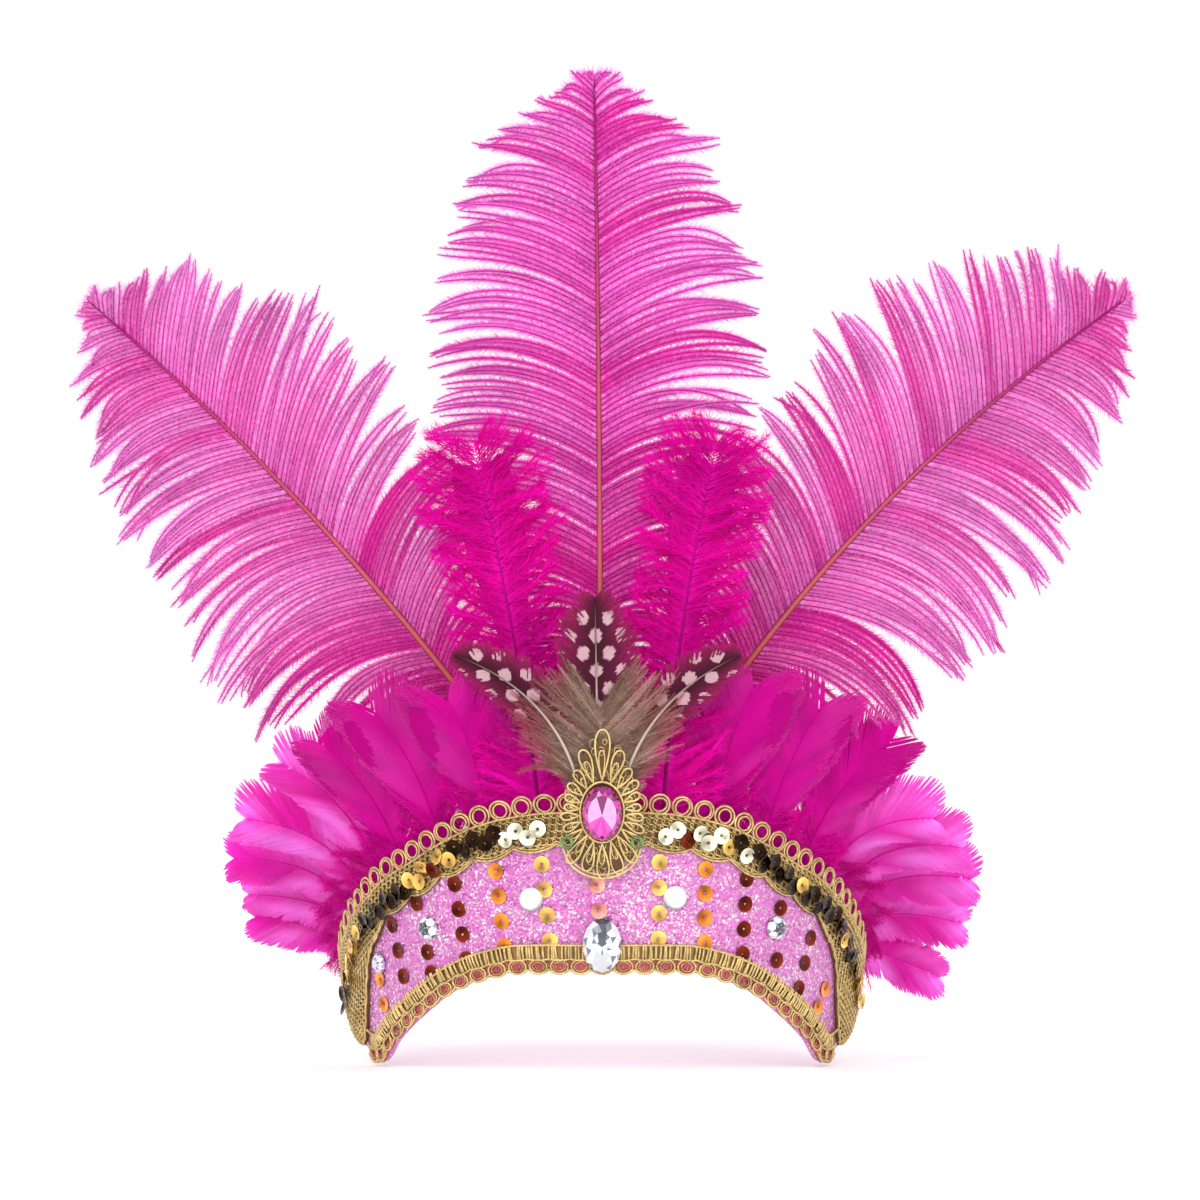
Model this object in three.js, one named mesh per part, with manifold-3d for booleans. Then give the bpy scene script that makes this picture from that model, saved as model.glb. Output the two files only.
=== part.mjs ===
// Carnival feather headdress in millimetres. +Z is up and the wearer faces -Y. The origin is the
// middle of the head opening at the height of the band's lower front edge.
import * as THREE from 'three';
import { mergeVertices } from 'three/addons/utils/BufferGeometryUtils.js';
import Module from 'manifold-3d';

const wasm = await Module();
wasm.setup();

// Band and what is sewn to it. A turn is the angle round the band from its front, in degrees.
const bandRadius = 88;
const bandFlare = 0.1;
const bandHeight = 53.5;
const bandHalfTurn = 84;
const bandWall = 2.4;
const seatGap = 0.3;
const braidThickness = 1.6;
const lowerBraidHeight = 10;
const scallopDepth = 1.6;
const scallopPitch = 6.8;
const picotPitch = 7.4;
const picotHeight = 6.4;
const picotCord = 1.5;
const strapWidth = 10;
const strapThickness = 1.4;
const strapReach = 95;
const strapRise = 8;
const strapSeatTurn = 76;

// Stones, beads and sequins
const sequinRadius = 2.8;
const sequinThickness = 0.8;
const sequinPitch = 4.8;
const centreStoneWidth = 12.8;
const centreStoneHeight = 18;
const centreStoneDepth = 5;
const stoneRadius = 4;
const stoneDepth = 3;
const ornamentHeight = 49;
const ornamentThickness = 1.6;
const ornamentCord = 1.1;
const ornamentGemWidth = 13;
const ornamentGemHeight = 18.6;
const ornamentGemDepth = 4.6;
const beadRadius = 1.7;
const beadCord = 0.55;

// Feathers
const plumeLength = 252;
const plumeHalfWidth = 60;
const marabouLength = 136;
const marabouHalfWidth = 20;
const gooseLength = 66;
const gooseHalfWidth = 19;
const fanLength = 78;
const fanHalfWidth = 13;
const guineaLength = 82;
const guineaHalfWidth = 12;
const downLength = 44;
const downHalfWidth = 30;
const quillSeat = 11;
const quillWidth = 2.2;
const featherPly = 0.6;

// Edges of the band as shares of bandHeight, by share of bandHalfTurn. The upper braid runs from
// top to braid and covers the ends whole.
const BAND = [
  { turn: 0.0, top: 1.0, braid: 0.78, bottom: 0.0 },
  { turn: 0.13, top: 0.99, braid: 0.77, bottom: 0.0 },
  { turn: 0.215, top: 0.963, braid: 0.74, bottom: -0.006 },
  { turn: 0.31, top: 0.903, braid: 0.68, bottom: -0.052 },
  { turn: 0.405, top: 0.804, braid: 0.58, bottom: -0.136 },
  { turn: 0.51, top: 0.673, braid: 0.45, bottom: -0.284 },
  { turn: 0.62, top: 0.551, braid: 0.31, bottom: -0.449 },
  { turn: 0.715, top: 0.411, braid: 0.05, bottom: -0.607 },
  { turn: 0.8, top: 0.29, braid: -0.5, bottom: -0.542 },
  { turn: 0.88, top: 0.159, braid: -0.439, bottom: -0.439 },
  { turn: 0.94, top: 0.075, braid: -0.318, bottom: -0.318 },
  { turn: 1.0, top: -0.019, braid: -0.215, bottom: -0.215 },
];

// Middle line of each sequin string, in the same shares.
const STRING = [
  { turn: 0.15, height: 0.87 },
  { turn: 0.27, height: 0.83 },
  { turn: 0.405, height: 0.7 },
  { turn: 0.535, height: 0.5 },
  { turn: 0.655, height: 0.35 },
  { turn: 0.74, height: 0.2 },
  { turn: 0.82, height: 0.02 },
  { turn: 0.88, height: -0.14 },
  { turn: 0.92, height: -0.26 },
];

// Small stones on the band: turn in degrees, height and size as shares of bandHeight and stoneRadius.
const STONES = [
  { name: 'stone_white_left', turn: -14.8, height: 0.46, size: 1, colour: 0xf4f2f6 },
  { name: 'stone_white_right', turn: 15.2, height: 0.47, size: 1, colour: 0xf4f2f6 },
  { name: 'stone_clear_left', turn: -39.5, height: 0.27, size: 1, colour: 0xc9c3d6 },
  { name: 'stone_clear_right', turn: 39.5, height: 0.27, size: 1, colour: 0xc9c3d6 },
  { name: 'stone_lilac_left', turn: -56.5, height: 0.03, size: 0.85, colour: 0xb9a6dc },
];

// Outline of the ornament as shares of ornamentHeight from the middle of its gem, by turn from the tip.
const ORNAMENT = [
  { turn: 0, reach: 0.55 },
  { turn: 20, reach: 0.42 },
  { turn: 38, reach: 0.335 },
  { turn: 52, reach: 0.31 },
  { turn: 75, reach: 0.27 },
  { turn: 100, reach: 0.28 },
  { turn: 115, reach: 0.305 },
  { turn: 135, reach: 0.365 },
  { turn: 150, reach: 0.415 },
  { turn: 165, reach: 0.44 },
  { turn: 180, reach: 0.45 },
];

// Kinds of feather. wide gives the half width as a share of the widest, by share of the vane
// from its base. locks is the number of barb locks a side, notch how wide the vane is between
// them, sweep and droop how far they lean along the spine, cup and relief their depth as shares
// of the half width.
const KINDS = {
  plume: {
    length: plumeLength, halfWidth: plumeHalfWidth, ply: 2.2, colour: 0xe4149f, columns: [-1, -0.5, 0, 0.5, 1],
    locks: 14, notch: 0.74, sweep: 0.7, droop: 0.5, cup: 0.05, relief: 0.02,
    outline: [
      { along: 0, wide: 0.5 }, { along: 0.1, wide: 0.9 }, { along: 0.25, wide: 0.98 }, { along: 0.45, wide: 1 },
      { along: 0.62, wide: 0.9 }, { along: 0.78, wide: 0.74 }, { along: 0.88, wide: 0.55 },
      { along: 0.95, wide: 0.34 }, { along: 1, wide: 0.05 },
    ],
  },
  marabou: {
    length: marabouLength, halfWidth: marabouHalfWidth, ply: 3.6, colour: 0xc8008c, columns: [-1, -0.5, 0, 0.5, 1],
    locks: 6, notch: 0.78, sweep: 0.5, droop: 0, cup: 0.05, relief: 0.03,
    outline: [
      { along: 0, wide: 0.15 }, { along: 0.3, wide: 0.55 }, { along: 0.6, wide: 1 }, { along: 0.8, wide: 0.95 },
      { along: 0.95, wide: 0.5 }, { along: 1, wide: 0.1 },
    ],
  },
  goose: {
    length: gooseLength, halfWidth: gooseHalfWidth, ply: 1.2, colour: 0xdc0c98, columns: [-1, -0.5, 0, 0.5, 1],
    locks: 4, notch: 0.94, sweep: 0.3, droop: 0, cup: -0.08, relief: 0,
    outline: [
      { along: 0, wide: 0.2 }, { along: 0.2, wide: 0.6 }, { along: 0.45, wide: 0.95 }, { along: 0.65, wide: 1 },
      { along: 0.85, wide: 0.85 }, { along: 0.95, wide: 0.55 }, { along: 1, wide: 0.2 },
    ],
  },
  fan: {
    length: fanLength, halfWidth: fanHalfWidth, ply: 1.2, colour: 0xe0189c, columns: [-1, 0, 1],
    locks: 4, notch: 0.82, sweep: 0.4, droop: 0, cup: -0.1, relief: 0,
    outline: [
      { along: 0, wide: 0.15 }, { along: 0.3, wide: 0.6 }, { along: 0.6, wide: 1 }, { along: 0.85, wide: 0.9 },
      { along: 0.95, wide: 0.6 }, { along: 1, wide: 0.2 },
    ],
  },
  guinea: {
    length: guineaLength, halfWidth: guineaHalfWidth, ply: featherPly, colour: 0x5a1432, columns: [-1, 0, 1],
    locks: 6, notch: 0.86, sweep: 0.4, droop: 0, cup: 0, relief: 0,
    outline: [
      { along: 0, wide: 0.12 }, { along: 0.25, wide: 0.5 }, { along: 0.45, wide: 1 }, { along: 0.6, wide: 0.95 },
      { along: 0.78, wide: 0.66 }, { along: 0.92, wide: 0.34 }, { along: 1, wide: 0.06 },
    ],
  },
  down: {
    length: downLength, halfWidth: downHalfWidth, ply: featherPly, colour: 0x967864, columns: [-1, 0, 1],
    locks: 5, notch: 0.84, sweep: 0.35, droop: 0, cup: 0, relief: 0,
    outline: [
      { along: 0, wide: 0.25 }, { along: 0.25, wide: 0.72 }, { along: 0.5, wide: 1 }, { along: 0.75, wide: 0.8 },
      { along: 0.92, wide: 0.5 }, { along: 1, wide: 0.15 },
    ],
  },
};

// Feathers. turn is where the quill is sewn, in degrees, and drop how far its end lies below the
// band's top edge, as a share of quillSeat. layer is 0 behind the band, or its place in the stack
// in front of it. long, left and right are shares of the kind's sizes, swell is how much the side
// away from the middle widens towards the base, and bare is the share of the length with no vane. Leans are measured from upright towards +X, backs towards +Y, in degrees,
// at the quill's end and at the tip, and facing is the turn that the vane faces.
const FEATHERS = [
  { name: 'plume_centre', kind: 'plume', turn: -0.6, drop: 1, layer: 0, long: 1.015, left: 0.96, right: 0.96,
    swell: 0, bare: 0.28, lean: 0.4, back: 5.5, tipLean: -1.2, tipBack: 8.5, facing: 0 },
  { name: 'plume_left', kind: 'plume', turn: -6.5, drop: 1, layer: 0, long: 0.98, left: 0.93, right: 0.92,
    swell: 0.6, bare: 0.29, lean: -34, back: 13, tipLean: -49.5, tipBack: 5, facing: 0 },
  { name: 'plume_right', kind: 'plume', turn: 5.5, drop: 1, layer: 0, long: 1.015, left: 0.98, right: 0.93,
    swell: 0.6, bare: 0.27, lean: 30, back: 13, tipLean: 55, tipBack: 5, facing: 0 },
  { name: 'marabou_left', kind: 'marabou', turn: -12.5, drop: 1, layer: 0, long: 1, left: 1, right: 1.05,
    swell: 0, bare: 0.32, lean: -6, back: -1, tipLean: -14, tipBack: 0, facing: 0 },
  { name: 'marabou_right', kind: 'marabou', turn: 12.5, drop: 1, layer: 0, long: 1.01, left: 0.95, right: 0.95,
    swell: 0, bare: 0.32, lean: 3, back: -1, tipLean: 13, tipBack: 0, facing: 0 },
  { name: 'goose_left_front', kind: 'goose', turn: -24.5, drop: 0.8, layer: 0, long: 0.88, left: 1.1, right: 0.85,
    swell: 0, bare: 0.24, lean: -3, back: -3, tipLean: -30, tipBack: -26, facing: -12 },
  { name: 'goose_left_middle', kind: 'goose', turn: -36, drop: 0.8, layer: 0, long: 1, left: 1, right: 0.95,
    swell: 0, bare: 0.24, lean: -8, back: 2, tipLean: -42, tipBack: -16, facing: -22 },
  { name: 'goose_left_back', kind: 'goose', turn: -47, drop: 0.8, layer: 0, long: 1, left: 0.8, right: 0.85,
    swell: 0, bare: 0.24, lean: -10, back: 10, tipLean: -52, tipBack: 0, facing: -30 },
  { name: 'goose_right_front', kind: 'goose', turn: 24.5, drop: 0.8, layer: 0, long: 0.94, left: 0.85, right: 1.1,
    swell: 0, bare: 0.24, lean: 2, back: -3, tipLean: 26, tipBack: -26, facing: 12 },
  { name: 'goose_right_middle', kind: 'goose', turn: 36, drop: 0.8, layer: 0, long: 1, left: 1, right: 0.95,
    swell: 0, bare: 0.24, lean: 8, back: 1, tipLean: 36, tipBack: -19, facing: 22 },
  { name: 'goose_right_back', kind: 'goose', turn: 47, drop: 0.8, layer: 0, long: 1.04, left: 0.8, right: 0.85,
    swell: 0, bare: 0.24, lean: 12, back: 10, tipLean: 54, tipBack: 0, facing: 30 },
  { name: 'fan_left_a', kind: 'fan', turn: -55.5, drop: 0.8, layer: 0, long: 0.94, left: 0.95, right: 1,
    swell: 0, bare: 0.24, lean: -8, back: 16, tipLean: -64, tipBack: 6, facing: -30 },
  { name: 'fan_left_b', kind: 'fan', turn: -62, drop: 0.8, layer: 0, long: 1.02, left: 0.95, right: 1,
    swell: 0, bare: 0.24, lean: -12, back: 28, tipLean: -86, tipBack: 12, facing: -30 },
  { name: 'fan_left_c', kind: 'fan', turn: -67.5, drop: 0.7, layer: 0, long: 1.07, left: 0.85, right: 0.85,
    swell: 0, bare: 0.28, lean: -16, back: 46, tipLean: -92, tipBack: 18, facing: -30 },
  { name: 'fan_left_d', kind: 'fan', turn: -71.5, drop: 0.5, layer: 0, long: 1.02, left: 0.65, right: 0.7,
    swell: 0, bare: 0.34, lean: -14, back: 66, tipLean: -90, tipBack: 20, facing: -30 },
  { name: 'fan_left_e', kind: 'fan', turn: -75, drop: 0.6, layer: 0, long: 1.05, left: 0.85, right: 0.7,
    swell: 0, bare: 0.34, lean: 0, back: 78, tipLean: -84, tipBack: 18, facing: -40 },
  { name: 'fan_right_a', kind: 'fan', turn: 55.5, drop: 0.8, layer: 0, long: 0.9, left: 1, right: 0.95,
    swell: 0, bare: 0.24, lean: 10, back: 18, tipLean: 92, tipBack: 8, facing: 30 },
  { name: 'fan_right_b', kind: 'fan', turn: 61.5, drop: 0.8, layer: 0, long: 1.02, left: 0.95, right: 0.95,
    swell: 0, bare: 0.24, lean: 14, back: 30, tipLean: 100, tipBack: 12, facing: 30 },
  { name: 'fan_right_c', kind: 'fan', turn: 67, drop: 0.7, layer: 0, long: 1.13, left: 0.95, right: 0.95,
    swell: 0, bare: 0.28, lean: 16, back: 52, tipLean: 100, tipBack: 18, facing: 30 },
  { name: 'fan_right_d', kind: 'fan', turn: 71.5, drop: 0.55, layer: 0, long: 1.13, left: 0.8, right: 0.85,
    swell: 0, bare: 0.34, lean: 14, back: 68, tipLean: 104, tipBack: 20, facing: 30 },
  { name: 'fan_right_e', kind: 'fan', turn: 75, drop: 0.6, layer: 0, long: 1.05, left: 0.7, right: 0.8,
    swell: 0, bare: 0.34, lean: 0, back: 78, tipLean: 116, tipBack: 16, facing: 40 },
  { name: 'guinea_left', kind: 'guinea', turn: -3.2, drop: 0.4, layer: 1, long: 1.02, left: 0.75, right: 0.8,
    swell: 0, bare: 0.18, lean: -5, back: -5.7, tipLean: -70, tipBack: -7, facing: 0 },
  { name: 'guinea_right', kind: 'guinea', turn: 2.6, drop: 0.4, layer: 1, long: 0.97, left: 0.8, right: 0.75,
    swell: 0, bare: 0.18, lean: 6, back: -5.7, tipLean: 66, tipBack: -7, facing: 0 },
  { name: 'guinea_centre', kind: 'guinea', turn: -0.6, drop: 0.4, layer: 2, long: 0.9, left: 1.08, right: 1.08,
    swell: 0, bare: 0.2, lean: -1, back: -5.7, tipLean: -1, tipBack: -6, facing: 0 },
  { name: 'guinea_down', kind: 'down', turn: -0.3, drop: 0, layer: 3, long: 0.94, left: 1.02, right: 0.98,
    swell: 0, bare: 0.08, lean: 0, back: -5.7, tipLean: 0, tipBack: -6, facing: 0 },
];

// Reads a column of a table between its rows, on a smooth curve that never overshoots them.
function read(rows, by, column, at) {
  const end = rows.length - 1;
  let i = 0;
  while (i < end - 1 && at > rows[i + 1][by]) i += 1;
  const rise = (j) => (rows[j + 1][column] - rows[j][column]) / (rows[j + 1][by] - rows[j][by]);
  const slope = (j) => {
    if (j === 0) return rise(0);
    if (j === end) return rise(end - 1);
    const product = rise(j - 1) * rise(j);
    return product <= 0 ? 0 : (2 * product) / (rise(j - 1) + rise(j));
  };
  const step = rows[i + 1][by] - rows[i][by];
  const t = (at - rows[i][by]) / step;
  const level = rows[i][column] * (1 + 2 * t) * (1 - t) ** 2 + rows[i + 1][column] * t * t * (3 - 2 * t);
  return level + step * (slope(i) * t * (1 - t) ** 2 - slope(i + 1) * t * t * (1 - t));
}

const radians = THREE.MathUtils.degToRad;
const bandEdge = (column, turn) => bandHeight * read(BAND, 'turn', column, Math.abs(turn) / bandHalfTurn);

// A place on the band: offset is measured outwards from its outer face.
function onBand(turn, height, offset) {
  const radius = bandRadius + bandFlare * height + offset;
  return new THREE.Vector3(radius * Math.sin(radians(turn)), -radius * Math.cos(radians(turn)), height);
}

// Turns that part a line on the band, with the height given by heightAt, into equal lengths.
function evenTurns(from, to, pitch, heightAt) {
  const steps = 600;
  const turns = Array.from({ length: steps + 1 }, (_, i) => from + ((to - from) * i) / steps);
  const lengths = [0];
  for (let i = 1; i <= steps; i += 1) {
    const before = onBand(turns[i - 1], heightAt(turns[i - 1]), 0);
    lengths.push(lengths[i - 1] + before.distanceTo(onBand(turns[i], heightAt(turns[i]), 0)));
  }
  const count = Math.max(2, Math.round(lengths[steps] / pitch));
  return Array.from({ length: count + 1 }, (_, i) => {
    const wanted = (lengths[steps] * i) / count;
    return turns[Math.max(0, lengths.findIndex((length) => length >= wanted - 1e-9))];
  });
}

// A mesh from places and faces, turned inside out where its volume comes out negative.
function closed(places, faces) {
  const edge = (a, b) => new THREE.Vector3().subVectors(places[b], places[a]);
  const six = faces.reduce((sum, [a, b, c]) => sum + places[a].dot(edge(a, b).cross(edge(a, c))), 0);
  const geometry = new THREE.BufferGeometry();
  geometry.setAttribute('position', new THREE.Float32BufferAttribute(places.flatMap((p) => [p.x, p.y, p.z]), 3));
  geometry.setIndex(faces.flatMap(([a, b, c]) => (six > 0 ? [a, b, c] : [a, c, b])));
  return geometry;
}

// A slab: a pattern of cells, each an outline with holes, laid on an inner and an outer surface.
function slab(cells, inner, outer) {
  const points = [];
  const known = new Map();
  const idOf = (point) => {
    const key = `${Math.round(point.x * 1000)} ${Math.round(point.y * 1000)}`;
    if (!known.has(key)) known.set(key, points.push(point) - 1);
    return known.get(key);
  };
  const faces = [];
  for (const { outline, holes = [] } of cells) {
    const ids = [outline, ...holes].flat().map(idOf);
    for (const corners of THREE.ShapeUtils.triangulateShape([...outline], holes.map((hole) => [...hole]))) {
      const [a, b, c] = corners.map((corner) => ids[corner]);
      const area = new THREE.Vector2().subVectors(points[b], points[a]).cross(
        new THREE.Vector2().subVectors(points[c], points[a]));
      faces.push(area > 0 ? [a, b, c] : [a, c, b]);
    }
  }
  const edges = new Set(faces.flatMap(([a, b, c]) => [`${a} ${b}`, `${b} ${c}`, `${c} ${a}`]));
  const count = points.length;
  const all = faces.flatMap(([a, b, c]) => [[a, b, c], [a + count, c + count, b + count]]);
  for (const edge of edges) {
    const [a, b] = edge.split(' ').map(Number);
    if (!edges.has(`${b} ${a}`)) all.push([a, a + count, b + count], [a, b + count, b]);
  }
  return closed([...points.map((p) => outer(p.x, p.y)), ...points.map((p) => inner(p.x, p.y))], all);
}

// Rings of places joined in order, with both ends closed.
function joinedRings(rings) {
  const sides = rings[0].length;
  const faces = [];
  rings.slice(1).forEach((_, row) => {
    for (let i = 0; i < sides; i += 1) {
      const [a, b] = [row * sides + i, row * sides + ((i + 1) % sides)];
      faces.push([a, b, b + sides], [a, b + sides, a + sides]);
    }
  });
  const last = (rings.length - 1) * sides;
  for (let i = 1; i < sides - 1; i += 1) faces.push([0, i + 1, i], [last, last + i, last + i + 1]);
  return closed(rings.flat(), faces);
}

const solidOf = (geometry) => {
  const bare = new THREE.BufferGeometry().setAttribute('position', geometry.getAttribute('position'));
  if (geometry.index) bare.setIndex(geometry.index);
  const merged = mergeVertices(bare, 1e-4);
  return new wasm.Manifold(new wasm.Mesh({
    numProp: 3, vertProperties: merged.attributes.position.array, triVerts: new Uint32Array(merged.index.array),
  }));
};

function geometryOf(solid) {
  const mesh = solid.getMesh();
  const geometry = new THREE.BufferGeometry();
  geometry.setAttribute('position', new THREE.BufferAttribute(mesh.vertProperties, 3));
  return geometry.setIndex(new THREE.BufferAttribute(mesh.triVerts, 1));
}

const group = new THREE.Group();

function add(name, geometry, color, roughness, metalness) {
  const material = new THREE.MeshStandardMaterial({ color, roughness, metalness });
  const mesh = new THREE.Mesh(geometry, material);
  mesh.name = name;
  group.add(mesh);
  return mesh;
}

const flat = (x, y) => new THREE.Vector2(x, y);

// The band: fabric over a stiff backing, one wall that leans out.
function band() {
  const turns = evenTurns(-bandHalfTurn, bandHalfTurn, picotPitch, (turn) => bandEdge('top', turn));
  const high = (turn) => bandEdge('top', turn) - 1;
  const low = (turn) => bandEdge('bottom', turn) + 1;
  const cells = turns.slice(1).map((turn, i) => ({
    outline: [flat(turns[i], low(turns[i])), flat(turn, low(turn)), flat(turn, high(turn)), flat(turns[i], high(turns[i]))],
  }));
  return slab(cells, (u, v) => onBand(u, v, -bandWall), (u, v) => onBand(u, v, 0));
}

// The upper braid: a scalloped strip with a row of open picots on its top edge.
function upperBraid() {
  const turns = evenTurns(-bandHalfTurn, bandHalfTurn, picotPitch, (turn) => bandEdge('top', turn));
  const top = (turn) => flat(turn, bandEdge('top', turn));
  const low = (turn, lobe) => {
    const plain = Math.abs(turn) > 0.68 * bandHalfTurn;
    return flat(turn, bandEdge('braid', turn) - (plain ? 0 : scallopDepth * (lobe - 0.5)));
  };
  const cells = [];
  turns.slice(1).forEach((turn, i) => {
    const from = turns[i];
    const middle = (from + turn) / 2;
    const lobes = i % 2 === 0 ? [0, 0.75, 1] : [1, 0.75, 0];
    cells.push({ outline: [low(from, lobes[0]), low(middle, lobes[1]), low(turn, lobes[2]), top(turn), top(from)] });
    const wide = (picotPitch * 180) / (Math.PI * bandRadius);
    const slope = (top(turn).y - top(from).y) / picotPitch;
    const square = 1 / Math.hypot(1, slope);
    const centre = flat((top(from).x + top(turn).x) / 2, (top(from).y + top(turn).y) / 2);
    const ring = (across, up) => flat(
      centre.x + wide * (across - up * slope * (picotHeight / picotPitch)) * square,
      centre.y + (up * picotHeight + across * slope * picotPitch) * square);
    const cord = picotCord / picotPitch;
    cells.push({
      outline: [top(from), top(turn), ring(0.46, 0.55), ring(0.25, 0.95), ring(-0.25, 0.95), ring(-0.46, 0.55)],
      holes: [[ring(-0.2, 0.25), ring(-0.46 + cord, 0.5), ring(-0.12, 0.95 - cord), ring(0.12, 0.95 - cord),
        ring(0.46 - cord, 0.5), ring(0.2, 0.25)]],
    });
  });
  const [inner, outer] = [seatGap, seatGap + braidThickness];
  return slab(cells, (u, v) => onBand(u, v, inner), (u, v) => onBand(u, v, outer));
}

// The lower braid: a ribbed strip whose lower edge hangs in small scallops.
function lowerBraid() {
  const reach = 0.765 * bandHalfTurn;
  const turns = evenTurns(-reach, reach, scallopPitch / 2, (turn) => bandEdge('bottom', turn));
  const low = (turn, i) => flat(turn, bandEdge('bottom', turn) + (i % 2 === 0 ? scallopDepth : 0));
  const top = (turn) => flat(turn, bandEdge('bottom', turn) + lowerBraidHeight);
  const cells = turns.slice(1).map((turn, i) => ({
    outline: [low(turns[i], i), low(turn, i + 1), top(turn), top(turns[i])],
  }));
  const [inner, outer] = [seatGap, seatGap + braidThickness];
  return slab(cells, (u, v) => onBand(u, v, inner), (u, v) => onBand(u, v, outer));
}

// The strap: an elastic sewn inside the band's ends, in one loop round the back of the head.
function strap() {
  const middle = (bandEdge('top', bandHalfTurn) + bandEdge('bottom', bandHalfTurn)) / 2;
  const around = (turn, v, inset) => {
    const rise = strapRise * Math.max(0, -Math.cos(radians(turn)));
    const place = onBand(turn, middle + rise + v, -bandWall - seatGap - inset);
    const reach = place.y > 0 ? strapReach / bandRadius : 1;
    return new THREE.Vector3(place.x, place.y * reach, place.z);
  };
  const count = 36;
  const turnAt = (i) => strapSeatTurn + ((360 - 2 * strapSeatTurn) * i) / count;
  const cells = Array.from({ length: count }, (_, i) => ({
    outline: [flat(turnAt(i), -strapWidth / 2), flat(turnAt(i + 1), -strapWidth / 2),
      flat(turnAt(i + 1), strapWidth / 2), flat(turnAt(i), strapWidth / 2)],
  }));
  return slab(cells, (u, v) => around(u, v, strapThickness), (u, v) => around(u, v, 0));
}

// A frame on the band's outer face: X along it, Y up it and Z out of it.
function bandFrame(turn, height, offset) {
  const out = new THREE.Vector3(Math.sin(radians(turn)), -Math.cos(radians(turn)), -bandFlare).normalize();
  const along = new THREE.Vector3(Math.cos(radians(turn)), Math.sin(radians(turn)), 0);
  const up = new THREE.Vector3().crossVectors(out, along);
  return new THREE.Matrix4().makeBasis(along, up, out).setPosition(onBand(turn, height, offset));
}

// A string of cup sequins laid like tiles, each over the next, fused in one strip.
function sequinString(side) {
  const heightAt = (turn) => bandHeight * read(STRING, 'turn', 'height', Math.abs(turn) / bandHalfTurn);
  const [first, last] = [STRING[0].turn, STRING.at(-1).turn].map((share) => side * share * bandHalfTurn);
  const turns = evenTurns(first, last, sequinPitch, heightAt);
  const tilt = Math.asin(sequinThickness / sequinPitch) * 0.8;
  const lift = seatGap * 2 + braidThickness + sequinThickness / 2 + sequinRadius * Math.sin(tilt);
  const discs = turns.map((turn, i) => {
    const [near, far] = [turns[Math.max(0, i - 1)], turns[Math.min(turns.length - 1, i + 1)]];
    const run = onBand(far, heightAt(far), 0).sub(onBand(near, heightAt(near), 0));
    const frame = bandFrame(turn, heightAt(turn), lift);
    const local = run.transformDirection(frame.clone().invert());
    const heading = Math.atan2(local.y, local.x);
    const disc = new THREE.CylinderGeometry(sequinRadius, sequinRadius, sequinThickness, 8);
    disc.rotateX(Math.PI / 2).rotateY(-tilt).rotateZ(heading).applyMatrix4(frame);
    return solidOf(disc);
  });
  return geometryOf(wasm.Manifold.union(discs));
}

// A cut stone with a flat back: girdle, ring of facets and table.
function cutStone(width, height, depth, sides) {
  const levels = [
    { up: 0, wide: 0.94 }, { up: 0.3, wide: 1 }, { up: 0.72, wide: 0.8 }, { up: 1, wide: 0.45 },
  ];
  return joinedRings(levels.map(({ up, wide }) => Array.from({ length: sides }, (_, i) => {
    const turn = (2 * Math.PI * i) / sides;
    return new THREE.Vector3((width / 2) * wide * Math.cos(turn), (height / 2) * wide * Math.sin(turn), up * depth);
  })));
}

// The stack in front of the band: how far out each feather layer lies, and the ornament on top.
const stackOffset = (layer) => seatGap + braidThickness + seatGap + (layer - 1) * (featherPly + seatGap);
const ornamentMiddle = bandHeight;
const ornamentLow = ornamentMiddle - ornamentHeight * ORNAMENT.at(-1).reach;

// A place on the ornament's plane, which clears the braid below and the feathers above.
function onOrnament(x, y, offset) {
  const height = ornamentMiddle + y;
  const fanned = stackOffset(4) - stackOffset(1);
  const slope = fanned / (ornamentMiddle - ornamentLow);
  const depth = onBand(0, height, stackOffset(1) + slope * (height - ornamentLow) + offset).y;
  return new THREE.Vector3(x, depth, height);
}

// The ornament: cord loops round a solid seat, as a plate cut through inside each loop.
function ornament() {
  const petals = 22;
  const seat = (turn) => 1 / Math.hypot(
    Math.sin(radians(turn)) / (ornamentGemWidth / 2 + ornamentCord),
    Math.cos(radians(turn)) / (ornamentGemHeight / 2 + ornamentCord));
  const edge = (turn) => ornamentHeight * read(ORNAMENT, 'turn', 'reach', turn > 180 ? 360 - turn : turn);
  const polar = (turn, reach) => flat(reach * Math.sin(radians(turn)), reach * Math.cos(radians(turn)));
  const outline = [];
  const holes = [];
  for (let i = 0; i < petals; i += 1) {
    const span = 360 / petals;
    const turn = i * span;
    const [before, after] = [(turn - span / 2 + 360) % 360, turn + span / 2];
    outline.push(polar(before, 0.9 * edge(before)), polar(turn - span / 5, edge(turn)), polar(turn + span / 5, edge(turn)));
    const [near, far] = [seat(turn) + ornamentCord / 2, edge(turn) - ornamentCord];
    const swell = near + 0.65 * (far - near);
    const part = (reach, share) => (share * span) - (share * 90 * ornamentCord) / (Math.PI * reach) / 0.5;
    if (far - near < ornamentCord || part(swell, 0.5) <= 0) continue;
    holes.push([polar(turn, near), polar(turn + part(swell, 0.42), swell), polar(turn, far), polar(turn - part(swell, 0.42), swell)]);
  }
  return slab([{ outline, holes }], (x, y) => onOrnament(x, y, 0), (x, y) => onOrnament(x, y, ornamentThickness));
}

// A frame on the ornament's front, seated one clearance off it.
function ornamentFrame(x, y) {
  const at = onOrnament(x, y, ornamentThickness + seatGap);
  const up = onOrnament(x, y + 1, ornamentThickness + seatGap).sub(at).normalize();
  const along = new THREE.Vector3(1, 0, 0);
  return new THREE.Matrix4().makeBasis(along, up, new THREE.Vector3().crossVectors(along, up)).setPosition(at);
}

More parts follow.
